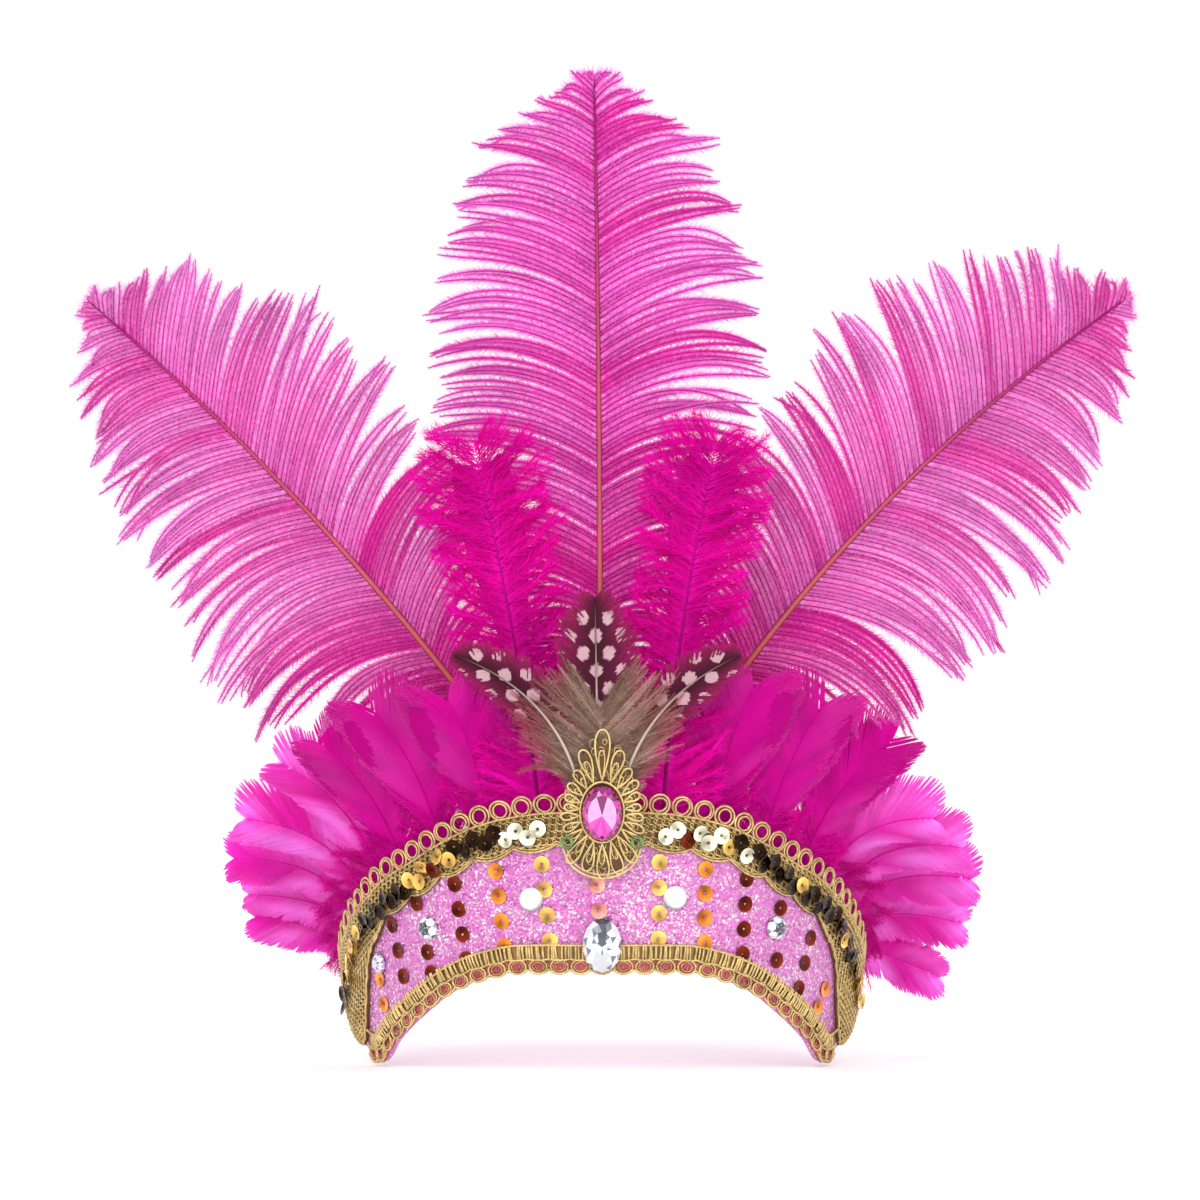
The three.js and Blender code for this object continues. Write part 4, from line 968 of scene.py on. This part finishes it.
PICOT_TURNS = even_turns(-BAND_HALF_TURN, BAND_HALF_TURN, PICOT_PITCH, lambda turn: band_edge("top", turn))
LOWER_REACH = LOWER_BRAID_REACH * BAND_HALF_TURN
SCALLOP_TURNS = even_turns(-LOWER_REACH, LOWER_REACH, SCALLOP_PITCH, lambda turn: band_edge("bottom", turn))


def place_among(turns, turn):
    """The index of a turn in a row of turns, with its share of the step to the next."""
    return np.interp(turn, turns, np.arange(len(turns)))


def braid_low(turn):
    """The upper braid's lower edge, with a lobe under each pair of picots."""
    lobe = np.abs(np.sin(np.pi * place_among(PICOT_TURNS, turn) / 2)) ** 0.8
    plain = np.abs(turn) > 0.68 * BAND_HALF_TURN
    return band_edge("braid", turn) - np.where(plain, 0, 1.5 * SCALLOP_DEPTH * (lobe - 0.6))


def scallop(turn):
    """0 between two scallops of the lower edge and 1 at the middle of each."""
    return np.abs(np.sin(np.pi * place_among(SCALLOP_TURNS, turn)))


def hem_low(turn):
    """The lower braid's lower edge, in small scallops."""
    return band_edge("bottom", turn) + SCALLOP_DEPTH * (1 - scallop(turn) ** 0.7)


def on_edge(turn, height, slope, x, y, offset):
    """Places set off by x along and y square to a sloping line on the band."""
    angle = np.arctan(slope)
    run = x * np.cos(angle) - y * np.sin(angle)
    rise = x * np.sin(angle) + y * np.cos(angle)
    return on_band(turn + np.degrees(run / BAND_RADIUS), height + rise, offset)


def picots(turns, edge, wide, tall, middle, offset, rng):
    """Closed oval loops along an edge of the band, one between each two turns."""
    centre = (turns[1:] + turns[:-1]) / 2
    level = band_edge(edge, turns)
    step = np.linalg.norm(on_band(turns[1:], 0, 0) - on_band(turns[:-1], 0, 0), axis=1)
    slope = (level[1:] - level[:-1]) / step
    lean = rng.normal(0, 0.06, len(centre))[:, None]
    y = tall * np.sin(circle(LOOP_STEPS)) * rng.uniform(0.93, 1.04, len(centre))[:, None]
    x = wide * np.cos(circle(LOOP_STEPS)) * rng.uniform(0.94, 1.03, len(centre))[:, None] + lean * y
    height = (level[1:] + level[:-1]) / 2
    return on_edge(centre[:, None], height[:, None], slope[:, None], x, middle + y, offset)


def build_upper_braid(soup):
    rng = np.random.default_rng(UPPER_BRAID_SEED)
    turns = np.linspace(-BAND_HALF_TURN, BAND_HALF_TURN, UPPER_STEPS + 1)
    strip(soup, turns, braid_low(turns), band_edge("top", turns), *BRAID_GROUND, on_band,
          colour("cord_low") * 0.4, rows=8, rounding=1)
    for wide, tall, size, offset in UPPER_PICOTS:
        paths = picots(PICOT_TURNS, "top", wide, tall, UPPER_PICOT_MIDDLE, offset, rng)
        flecked(soup, paths, size, rng, 0.45, closed=True)

    wide, tall, deep = KNIT_WAVE
    s = np.arange(KNIT_LOOPS * KNIT_STEPS) / KNIT_STEPS
    for k in range(KNIT_ROWS):
        phase = 2 * np.pi * s + k
        at = np.interp(s, np.linspace(0, KNIT_LOOPS, len(turns)), turns)
        at = at + np.degrees(wide * np.cos(phase) / BAND_RADIUS)
        level = band_edge("top", at) - 0.7 - k * KNIT_PITCH + tall * np.sin(phase)
        inside = level > braid_low(at) + 0.5
        if inside.any():
            path = on_band(at, level, 1.2 + deep * np.sin(4 * np.pi * s + 1.5 * k))[None]
            flecked(soup, path, KNIT_CORD, rng, 0.55, sides=3, kept=inside[:-1] & inside[1:])

    edge = np.linspace(-BAND_HALF_TURN + 0.4, BAND_HALF_TURN - 0.4, 360)
    twist = 0.2 * np.sin(np.arange(len(edge)) * 2.1)
    low, top = braid_low(edge), band_edge("top", edge)
    for level, size in ((low + 0.35, 0.85), (low + 1.2, 0.7), (top - 0.1, 0.85)):
        flecked(soup, on_band(edge, level, 1.35 + twist)[None], size, rng, 0.5)


def build_lower_braid(soup):
    rng = np.random.default_rng(LOWER_BRAID_SEED)
    turns = np.linspace(-LOWER_REACH, LOWER_REACH, LOWER_STEPS + 1)

    def ground(turn, height):
        share = ramp(height - band_edge("bottom", turn), 4.2, 0.8)
        return blend(colour("net"), colour("cord_low") * 0.7, share)

    top = band_edge("bottom", turns) + LOWER_BRAID_HEIGHT
    strip(soup, turns, hem_low(turns), top, *BRAID_GROUND, on_band, ground, rows=8, rounding=1)
    end = LOWER_REACH - 0.3
    ribs = even_turns(-end, end, RIB_PITCH, lambda turn: band_edge("bottom", turn))
    level = np.linspace(RIB_FOOT, RIB_HEAD, 5)[None]
    lean = rng.normal(0, 0.05, len(ribs))[:, None]
    slope = np.gradient(band_edge("bottom", ribs), np.radians(ribs) * BAND_RADIUS)[:, None]
    bulge = 1.1 + 0.35 * np.sin(np.linspace(0, np.pi, 5))[None]
    paths = on_edge(ribs[:, None], band_edge("bottom", ribs)[:, None], slope, lean * level, level, bulge)
    flecked(soup, paths, 0.92, rng, 0.4)

    edge = np.linspace(-LOWER_REACH, LOWER_REACH, 420)
    twist = 0.15 * np.sin(np.arange(len(edge)) * 2.3)
    low = band_edge("bottom", edge)
    for level, offset, size in (
        (low + LOWER_BRAID_HEIGHT - 0.3, 1.4, 0.9), (low + 5.3 - 0.5 * scallop(edge) ** 0.8, 1.4, 0.8),
        (hem_low(edge) + 0.35, 1.2, 0.75),
    ):
        flecked(soup, on_band(edge, level, offset + twist)[None], size, rng, 0.4)
    net = np.linspace(-LOWER_REACH, LOWER_REACH, 480)
    zigzag = np.abs((np.arange(len(net)) * 0.61) % 2 - 1)
    path = on_band(net, hem_low(net) + 0.5 + zigzag * 2.9, 1.0)[None]
    flecked(soup, path, 0.34, rng, 0.5, tints=("rose", "cord"), glow=1.2)
    for wide, tall, size, fleck in LOWER_PICOTS:
        paths = picots(SCALLOP_TURNS, "bottom", wide, tall, LOWER_PICOT_MIDDLE, LOWER_PICOT_OFFSET, rng)
        flecked(soup, paths, size, rng, 0.4, closed=True, tints=("cord", fleck))


def build_strap(soup):
    middle = (band_edge("top", BAND_HALF_TURN) + band_edge("bottom", BAND_HALF_TURN)) / 2
    turns = np.linspace(STRAP_SEAT_TURN, 360 - STRAP_SEAT_TURN, STRAP_STEPS + 1)
    outer = -BAND_WALL - SEAT_GAP

    def around(turn, v, inset):
        rise = STRAP_RISE * np.maximum(0, -np.cos(np.radians(turn)))
        face = np.sign(inset + BAND_WALL + SEAT_GAP + STRAP_THICKNESS / 2)
        place = on_band(turn, middle + rise + v, inset + 0.09 * np.cos(v * 2 * np.pi / 2.4) * face)
        place[..., 1] *= np.where(place[..., 1] > 0, STRAP_REACH / BAND_RADIUS, 1)
        return place

    half = np.full_like(turns, STRAP_WIDTH / 2)
    strip(soup, turns, -half, half, outer - STRAP_THICKNESS, outer, around, colour("elastic"), rows=20,
          rounding=0.6)


# Sequins and stones. A frame is a centre and the axes along, up and out of a face there
def band_frame(turn, height, offset):
    """A centre on the band, and the axes along, up and out of its face there."""
    angle = np.radians(np.asarray(turn, float))
    out = unit(np.stack([np.sin(angle), -np.cos(angle), np.full_like(angle, -BAND_FLARE)], -1))
    along = np.stack([np.cos(angle), np.sin(angle), np.zeros_like(angle)], -1)
    return on_band(turn, height, offset), along, np.cross(out, along), out


def in_frame(frame, local):
    """Places of points that are given along, up and out from the centre of a frame."""
    centre, along, up, out = frame
    return centre + local[..., :1] * along + local[..., 1:2] * up + local[..., 2:] * out


def sequins(soup, frame, radius, tints, rng, dish=0.16):
    """Thin cupped discs with a hole, each in its own frame, with painted shade towards the hole and a painted
    reflection that makes one side bright and the other dark.
    """
    reach = np.array(SEQUIN_REACHES + SEQUIN_REACHES[::-1])[:, None] * radius
    rise = np.array([0, 0.015, dish * 0.75, dish])
    rise = np.concatenate([rise, rise[::-1] + SEQUIN_PLY])[:, None] * radius
    angle = circle(SEQUIN_SIDES)
    x, y = reach * np.cos(angle), reach * np.sin(angle)
    places = in_frame([v[:, None, None] for v in frame], np.stack([x, y, rise + 0 * x], -1))
    ids = np.arange(places[..., 0].size).reshape(places.shape[:3])
    ring = np.roll(ids, -1, 1)
    quads = np.stack([ids, np.roll(ids, -1, 2), np.roll(ring, -1, 2), ring], -1)
    # Painted shade on the rings, darkest around the hole.
    shade = np.array(SEQUIN_PAINTED_SHADES)[None, :, None, None]
    # Painted reflection: each disc is painted lighter on one side and darker on the other, as if its foil
    # mirrored bright and dark surroundings.
    facing = np.cos(angle + rng.uniform(0, 2 * np.pi, len(tints))[:, None])[:, None, :, None]
    foil_and_painted_reflection = 0.95 + 0.5 * facing * np.abs(facing)
    soup.add(places, np.clip(tints[:, None, None] * shade * foil_and_painted_reflection, 0, 1), quads=quads)


def build_string(soup, side):
    """Cup sequins sewn one over the other, in two staggered rows."""
    rng = np.random.default_rng(STRING_SEED + side)

    def height_at(turn):
        return BAND_HEIGHT * read(STRING, "turn", "height", np.abs(turn) / BAND_HALF_TURN)

    first, last = (side * STRING["turn"][i] * BAND_HALF_TURN for i in (0, -1))
    turns = even_turns(first, last, SEQUIN_PITCH * STRING_CROWD, height_at)
    count = len(turns)
    line, _, _, out = band_frame(turns, height_at(turns), 0)
    run = unit(np.gradient(line, axis=0))
    run = unit(run - out * (run * out).sum(1, keepdims=True))
    over = np.cross(out, run)
    tilt = math.asin(SEQUIN_THICKNESS / SEQUIN_PITCH) * 0.8
    wobble = rng.normal(0, 0.2, (2, count, 1))
    tilted = unit(out + run * (math.tan(tilt) + wobble[0]) + over * wobble[1])
    across = unit(run - tilted * (run * tilted).sum(1, keepdims=True))
    lift = SEAT_GAP * 2 + BRAID_THICKNESS + SEQUIN_RADIUS * math.sin(tilt)
    stagger = (np.arange(count) % 2 - 0.5)[:, None] * 2.8
    centre = on_band(turns, height_at(turns), lift) + over * (stagger + rng.normal(0, 0.25, (count, 1)))
    letters = STRING_COLOURS[side]
    letters = [letters[min(int(i * STRING_CROWD), len(letters) - 1)] for i in range(count)]
    tints = np.array([colour(LETTERS[letter]) for letter in letters]) * rng.uniform(0.85, 1.1, (count, 1))
    sequins(soup, (centre, across, np.cross(tilted, across), tilted), SEQUIN_RADIUS, tints, rng)


def at_pixel(u, v):
    """Turn and height on the band's face under a pixel of the photograph."""
    depth = -float(BAND_RADIUS)
    for _ in range(8):
        scale = PHOTO_SCALE * (CAMERA_DISTANCE + depth) / CAMERA_DISTANCE
        height = CAMERA_HEIGHT - (v - PHOTO_MIDDLE[1]) * scale
        radius = BAND_RADIUS + BAND_FLARE * height
        x = max(-radius * 0.999, min(radius * 0.999, (u - PHOTO_MIDDLE[0]) * scale))
        depth = -math.sqrt(radius * radius - x * x)
    return math.degrees(math.atan2(x, -depth)), height


def build_dots(soup):
    """The sequins stuck flat on the fabric, in columns."""
    rng = np.random.default_rng(DOT_SEED)
    spots, tints = [], []
    for row in DOTS:
        dots = dict(zip(DOT_COLUMNS, row))
        for i in range(dots["count"]):
            spots.append(at_pixel(dots["first_u"] + dots["step_u"] * i, dots["first_v"] + dots["step_v"] * i))
            tints.append(colour(dots["colour"]) * rng.uniform(0.85, 1.12))
    centre, along, up, out = band_frame(*np.array(spots).T, DOT_OFFSET)
    spin = rng.uniform(0, 2 * np.pi, (len(centre), 1))
    first = along * np.cos(spin) + up * np.sin(spin)
    sequins(soup, (centre, first, np.cross(out, first), out), DOT_RADIUS, np.array(tints), rng, dish=0.09)


def cut_stone(soup, size, sides, shade_at, frame, levels=BRILLIANT):
    """A cut stone: a girdle, rings of facets and a domed table, coloured by shade_at with painted
    reflections, one tint for each facet.
    """
    width, height, depth = size
    rings = []
    for rise, wide, shift in levels:
        angle = (np.arange(sides) + shift) * 2 * np.pi / sides + np.pi / 2
        x, y = width / 2 * wide * np.cos(angle), height / 2 * wide * np.sin(angle)
        rings.append(np.stack([x, y, np.full(sides, rise * depth)], -1))
    tris = []
    for k, (a, b) in enumerate(zip(rings, rings[1:])):
        shift = levels[k + 1][2] - levels[k][2]
        for i in range(sides):
            j = (i + 1) % sides
            if shift == 0:
                tris += [(a[i], a[j], b[j]), (a[i], b[j], b[i])]
            elif shift > 0:
                tris += [(a[i], a[j], b[i]), (a[j], b[j], b[i])]
            else:
                tris += [(a[i], b[j], b[i]), (a[i], a[j], b[j])]
    last, tip = rings[-1], np.array([0, 0, depth])
    tris += [(last[i], last[(i + 1) % sides], tip) for i in range(sides)]
    tris += [(rings[0][(i + 1) % sides], rings[0][i], np.zeros(3)) for i in range(sides)]
    tris = np.array(tris)
    tints = [shade_at(x / (width / 2), y / (height / 2), i) for i, (x, y, _) in enumerate(tris.mean(1))]
    soup.add(in_frame(frame, tris), np.repeat(np.array(tints)[:, None], 3, 1), tris=np.arange(3 * len(tris)))


# Painted reflections of the stones: each facet gets a white, clear, dark grey or coloured tint for the bright
# or dark surroundings it mirrors, and a few get a painted bright flash.
def clear_shade(x, y, i):
    reach = math.hypot(x * 1.2, y)
    if reach < 0.55:
        return colour("painted_dark_grey") * (0.5 if i % 5 else 4.5)
    return (colour("white"), colour("clear"), colour("painted_dark_grey") * 2.6, colour("white"))[i % 4]


def centre_shade(x, y, i):
    if abs(x) < 0.3 * (0.4 + y) and y > 0.06:
        return colour("painted_dark_grey") * (1.0 + 0.35 * (i % 2))
    if abs(x) < 0.34 and y < -0.2:
        return colour("clear") * 0.86
    tints = colour("white"), colour("clear") * 0.92, colour("white"), colour("painted_dark_grey") * 2.6, colour("clear")
    return tints[i % 5]


def lilac_shade(x, y, i):
    return (colour("lilac"), colour("white"), colour("lilac") * 0.45, colour("clear"))[(i * 3) % 4]


def gem_shade(x, y, i):
    if math.hypot(x, y) > 0.76:
        return colour("gem_deep") if (i % 3 == 1) != (y > 0.6) else colour("gem")
    turn = math.degrees(math.atan2(y, x)) % 360
    if 72 < turn < 112:
        return colour("gem_deep")
    if 205 < turn < 325:
        return blend(colour("gem"), colour("gem_light"), 0.12 * (i % 2))
    return blend(colour("gem_light"), colour("gem"), 0.14 + 0.08 * (i % 2))


def build_cabochon(soup, radius, depth, frame):
    """A white half ball, shaded towards its lower rim."""
    lift, angle = np.linspace(0, np.pi / 2, CABOCHON_LEVELS)[:, None], circle(CABOCHON_SIDES)[None]
    reach = radius * np.cos(lift) ** 0.8
    local = np.stack([reach * np.cos(angle), reach * np.sin(angle), depth * np.sin(lift) + 0 * angle], -1)
    local[-1, :, :2] *= 0
    # Painted shade, darker towards the lower rim.
    rim = np.clip(np.hypot(local[..., 0], local[..., 1]) / radius - 0.55, 0, 1)
    rim = rim * np.clip(0.5 - local[..., 1] / radius, 0, 1.5)
    tints = blend(colour("white"), colour("painted_dark_grey") * 2, np.clip(rim * 1.6, 0, 0.8))
    quads = grid_quads(CABOCHON_LEVELS, CABOCHON_SIDES, closed=True)
    soup.add(in_frame(frame, local), tints, quads=quads)


def build_stone(soup, name):
    turn, height, size, kind = STONES[name]
    frame = band_frame(turn, height * BAND_HEIGHT, SEAT_GAP)
    radius, depth = STONE_RADIUS * size, STONE_DEPTH * size
    if kind == "white":
        build_cabochon(soup, radius, depth, frame)
    else:
        shade = clear_shade if kind == "clear" else lilac_shade
        cut_stone(soup, (2 * radius, 2 * radius, depth), 12, shade, frame)


def build_centre_stone(soup):
    cut_stone(soup, CENTRE_STONE, 14, centre_shade, band_frame(0, CENTRE_STONE[1] / 2 + 1, stack_offset(1)))


# The ornament
def on_ornament(x, y, offset):
    x, y, offset = np.broadcast_arrays(*(np.asarray(v, float) for v in (x, y, offset)))
    low = BAND_HEIGHT - ORNAMENT_HEIGHT * ORNAMENT["reach"][-1]
    slope = (stack_offset(4) - stack_offset(1)) / (BAND_HEIGHT - low)
    height = BAND_HEIGHT + y
    depth = on_band(0, height, stack_offset(1) + slope * (height - low) + offset)[..., 1]
    return np.stack([x, depth, height], -1)


def ornament_edge(turn):
    turn = np.abs((np.asarray(turn, float) + 180) % 360 - 180)
    return ORNAMENT_HEIGHT * read(ORNAMENT, "turn", "reach", turn)


def gem_edge(turn, clearance):
    angle = np.radians(turn)
    wide, tall = ORNAMENT_GEM[0] / 2 + clearance, ORNAMENT_GEM[1] / 2 + clearance
    return 1 / np.hypot(np.sin(angle) / wide, np.cos(angle) / tall)


def polar(radius, turn):
    """Right and up of the gem's middle, from the distance to it and the turn from the tip."""
    return radius * np.sin(np.radians(turn)), radius * np.cos(np.radians(turn))


def build_filigree(soup):
    rng = np.random.default_rng(FILIGREE_SEED)
    face = np.array(FRONT)

    turns = np.arange(GROUND_STEPS) * 360 / GROUND_STEPS
    ripple = 0.9 + 0.05 * np.cos(np.radians(turns) * LOBES)
    x, y = polar(np.linspace(0, 1, GROUND_RINGS)[:, None] * (ornament_edge(turns) * ripple)[None], turns)
    quads = grid_quads(GROUND_RINGS, GROUND_STEPS, closed=True)[:, [0, 3, 2, 1]]
    bumps = 0.12 * np.sin(x * 4.1) * np.sin(y * 3.7)
    for lift, turned in ((0.62, 1), (0.05, -1)):
        flecks = np.clip(rng.normal(0.05, 0.14, x.shape), 0, 0.4)
        tint = blend(colour("olive"), colour("rust"), flecks) * 0.8
        soup.add(on_ornament(x, y, lift + bumps), tint, quads=quads[:, ::turned])

    span = 360 / LOBES
    around = circle(LOBE_STEPS)
    share = 0.5 - 0.5 * np.cos(around)
    for far_share, spread, size, lift in LOBE_RINGS:
        for turn in np.arange(LOBES) * span:
            near = float(gem_edge(turn, 0.9))
            far = (float(ornament_edge(turn)) - 0.5) * far_share * rng.uniform(0.95, 1.03)
            far = max(far, near + 2.2)
            radius = near + (far - near) * share
            half = far * math.radians(span) * spread
            offset = half * np.sin(around) * share**0.7 + rng.normal(0, 0.25) * share
            (x, y), (u, v) = polar(radius, turn), polar(offset, turn)
            path = on_ornament(x + v, y - u, lift + 0.2 * np.sin(around * 2))[None]
            flecked(soup, path, size, rng, 0.22, face, sides=5, closed=True)

    ring = circle(RING_STEPS)
    for _ in range(RINGS):
        turn = rng.uniform(0, 360)
        near, far = float(gem_edge(turn, 1.4)), float(ornament_edge(turn)) - 1.2
        if far - near < 1.5:
            continue
        x, y = polar(rng.uniform(near, far), turn)
        size = rng.uniform(0.7, 1.25)
        x, y = x + size * np.cos(ring), y + size * 1.3 * np.sin(ring)
        path = on_ornament(x, y, 0.8 + 0.25 * np.sin(ring + turn))[None]
        flecked(soup, path, 0.42, rng, 0.55, face, closed=True, tints=("cord", "olive"))

    full = np.arange(RIM_STEPS) * 360 / RIM_STEPS
    low = full[(full > RIM_TURNS[0]) & (full < RIM_TURNS[1])]
    for inset, size, lift in RIM_CORDS:
        path = on_ornament(*polar(ornament_edge(low) - inset, low), lift)[None]
        flecked(soup, path, size, rng, 0.3, face, sides=5)
    path = on_ornament(*polar(gem_edge(full, 0.55), full), 1.5)[None]
    flecked(soup, path, 0.95, rng, 0.35, face, sides=5, closed=True)


def ornament_frame(x, y):
    at = on_ornament(x, y, ORNAMENT_THICKNESS + SEAT_GAP)
    up = unit(on_ornament(x, y + 1, ORNAMENT_THICKNESS + SEAT_GAP) - at)
    along = np.array([1.0, 0, 0])
    return at, along, up, np.cross(along, up)


def build_gem(soup):
    cut_stone(soup, ORNAMENT_GEM, 16, gem_shade, ornament_frame(0, 0), levels=BROAD_TABLE)


def build_bead(soup, side):
    frame = ornament_frame(side * BEAD_PLACE[0] * ORNAMENT_HEIGHT, BEAD_PLACE[1] * ORNAMENT_HEIGHT)
    angle = circle(BEAD_STEPS)
    local = [BEAD_RADIUS * np.cos(angle), BEAD_RADIUS * np.sin(angle), np.full(BEAD_STEPS, BEAD_CORD)]
    path = in_frame(frame, np.stack(local, -1))[None]
    places, quads = strands(path, 2 * BEAD_CORD, frame[3], BEAD_SIDES, closed=True)
    tint = colour("green") * (0.75 + 0.35 * np.sin(angle * 2 + 1))[:, None, None]
    tint = np.repeat(tint, BEAD_SIDES, 1)
    soup.add(places, np.clip(tint, 0, 1), quads=quads)


# The scene
def studio(low, high):
    """A pale floor, soft lights and the camera where the photograph was taken."""
    scene = bpy.context.scene
    scene.view_settings.view_transform = "Standard"
    bpy.ops.mesh.primitive_circle_add(
        vertices=96, radius=FLOOR_RADIUS, fill_type="NGON", location=(0, 0, low.z - FLOOR_GAP))
    floor = bpy.context.object
    floor.name = "floor"
    made, tree = node_material("floor")
    shader = add_node(tree, "BsdfPrincipled", {
        "Base Color": (0.97, 0.97, 0.975, 1), "Roughness": 0.9, "Specular IOR Level": 0.1})
    add_node(tree, "OutputMaterial", {"Surface": shader})
    floor.data.materials.append(made)
    for name, place, power, size in LAMPS:
        data = bpy.data.lights.new(name, "AREA")
        data.energy, data.size = power, size
        lamp = bpy.data.objects.new(name, data)
        lamp.location = place
        aim = Vector(LAMP_AIM) - Vector(place)
        lamp.rotation_euler = aim.to_track_quat("-Z", "Y").to_euler()
        scene.collection.objects.link(lamp)
    world = bpy.data.worlds.new("studio")
    world.use_nodes = True
    sky = world.node_tree.nodes["Background"].inputs
    sky["Color"].default_value = (1, 1, 1, 1)
    sky["Strength"].default_value = SKY_STRENGTH
    scene.world = world

    data = bpy.data.cameras.new("camera")
    data.sensor_width = SENSOR
    data.lens = SENSOR * CAMERA_DISTANCE / (PHOTO_SIDE * PHOTO_SCALE)
    camera = bpy.data.objects.new("camera", data)
    off_middle = (PHOTO_SIDE / 2 - PHOTO_MIDDLE[0]) * PHOTO_SCALE
    camera.location = (off_middle * MM, -CAMERA_DISTANCE * MM, CAMERA_HEIGHT * MM)
    camera.rotation_euler = (math.pi / 2, 0, 0)
    scene.collection.objects.link(camera)
    scene.camera = camera


def main():
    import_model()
    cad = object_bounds()
    looks = {name: tinted_material(name, **values) for name, values in LOOKS.items()}
    gold, foil_and_painted_reflection, facets = looks["gold_cord"], looks["foil_and_painted_reflection"], looks["facets"]

    piece("fabric_band", glitter_material("glitter"), "glitter_fabric", ["band"], build_band)
    piece("upper_braid_cords", gold, "gold_braid", ["upper_braid"], build_upper_braid)
    piece("lower_braid_cords", gold, "gold_braid", ["lower_braid"], build_lower_braid)
    piece("strap_elastic", looks["elastic"], "elastic", ["elastic_strap"], build_strap)
    for hand, side in (("left", -1), ("right", 1)):
        piece("sequins_" + hand, foil_and_painted_reflection, "sequins", ["sequin_string_" + hand], build_string, side, smooth=False)
    piece("sequins_on_fabric", foil_and_painted_reflection, "sequins", [], build_dots, smooth=False)
    piece("front_stone", facets, "clear_stone", ["centre_stone"], build_centre_stone, smooth=False)
    for name, (_, _, _, kind) in STONES.items():
        look = looks["pearl"] if kind == "white" else facets
        piece(name + "_cut", look, kind + "_stone", [name], build_stone, name, smooth=kind == "white")
    piece("filigree_cords", gold, "gold_cord", ["ornament_filigree"], build_filigree)
    piece("pink_gem", facets, "pink_gem", ["ornament_gem"], build_gem, smooth=False)
    for hand, side in (("left", -1), ("right", 1)):
        piece("bead_" + hand, looks["enamel"], "green_bead", ["green_bead_" + hand], build_bead, side)

    for i, (name, row) in enumerate(FEATHERS.items()):
        make, look, slot, *values = FEATHER_MAKERS[row[0]]
        piece(name + "_barbs", looks[look], slot, [name], build_feather, name, make, FEATHER_SEED + i,
              *values, smooth=False)

    studio(*cad)


main()
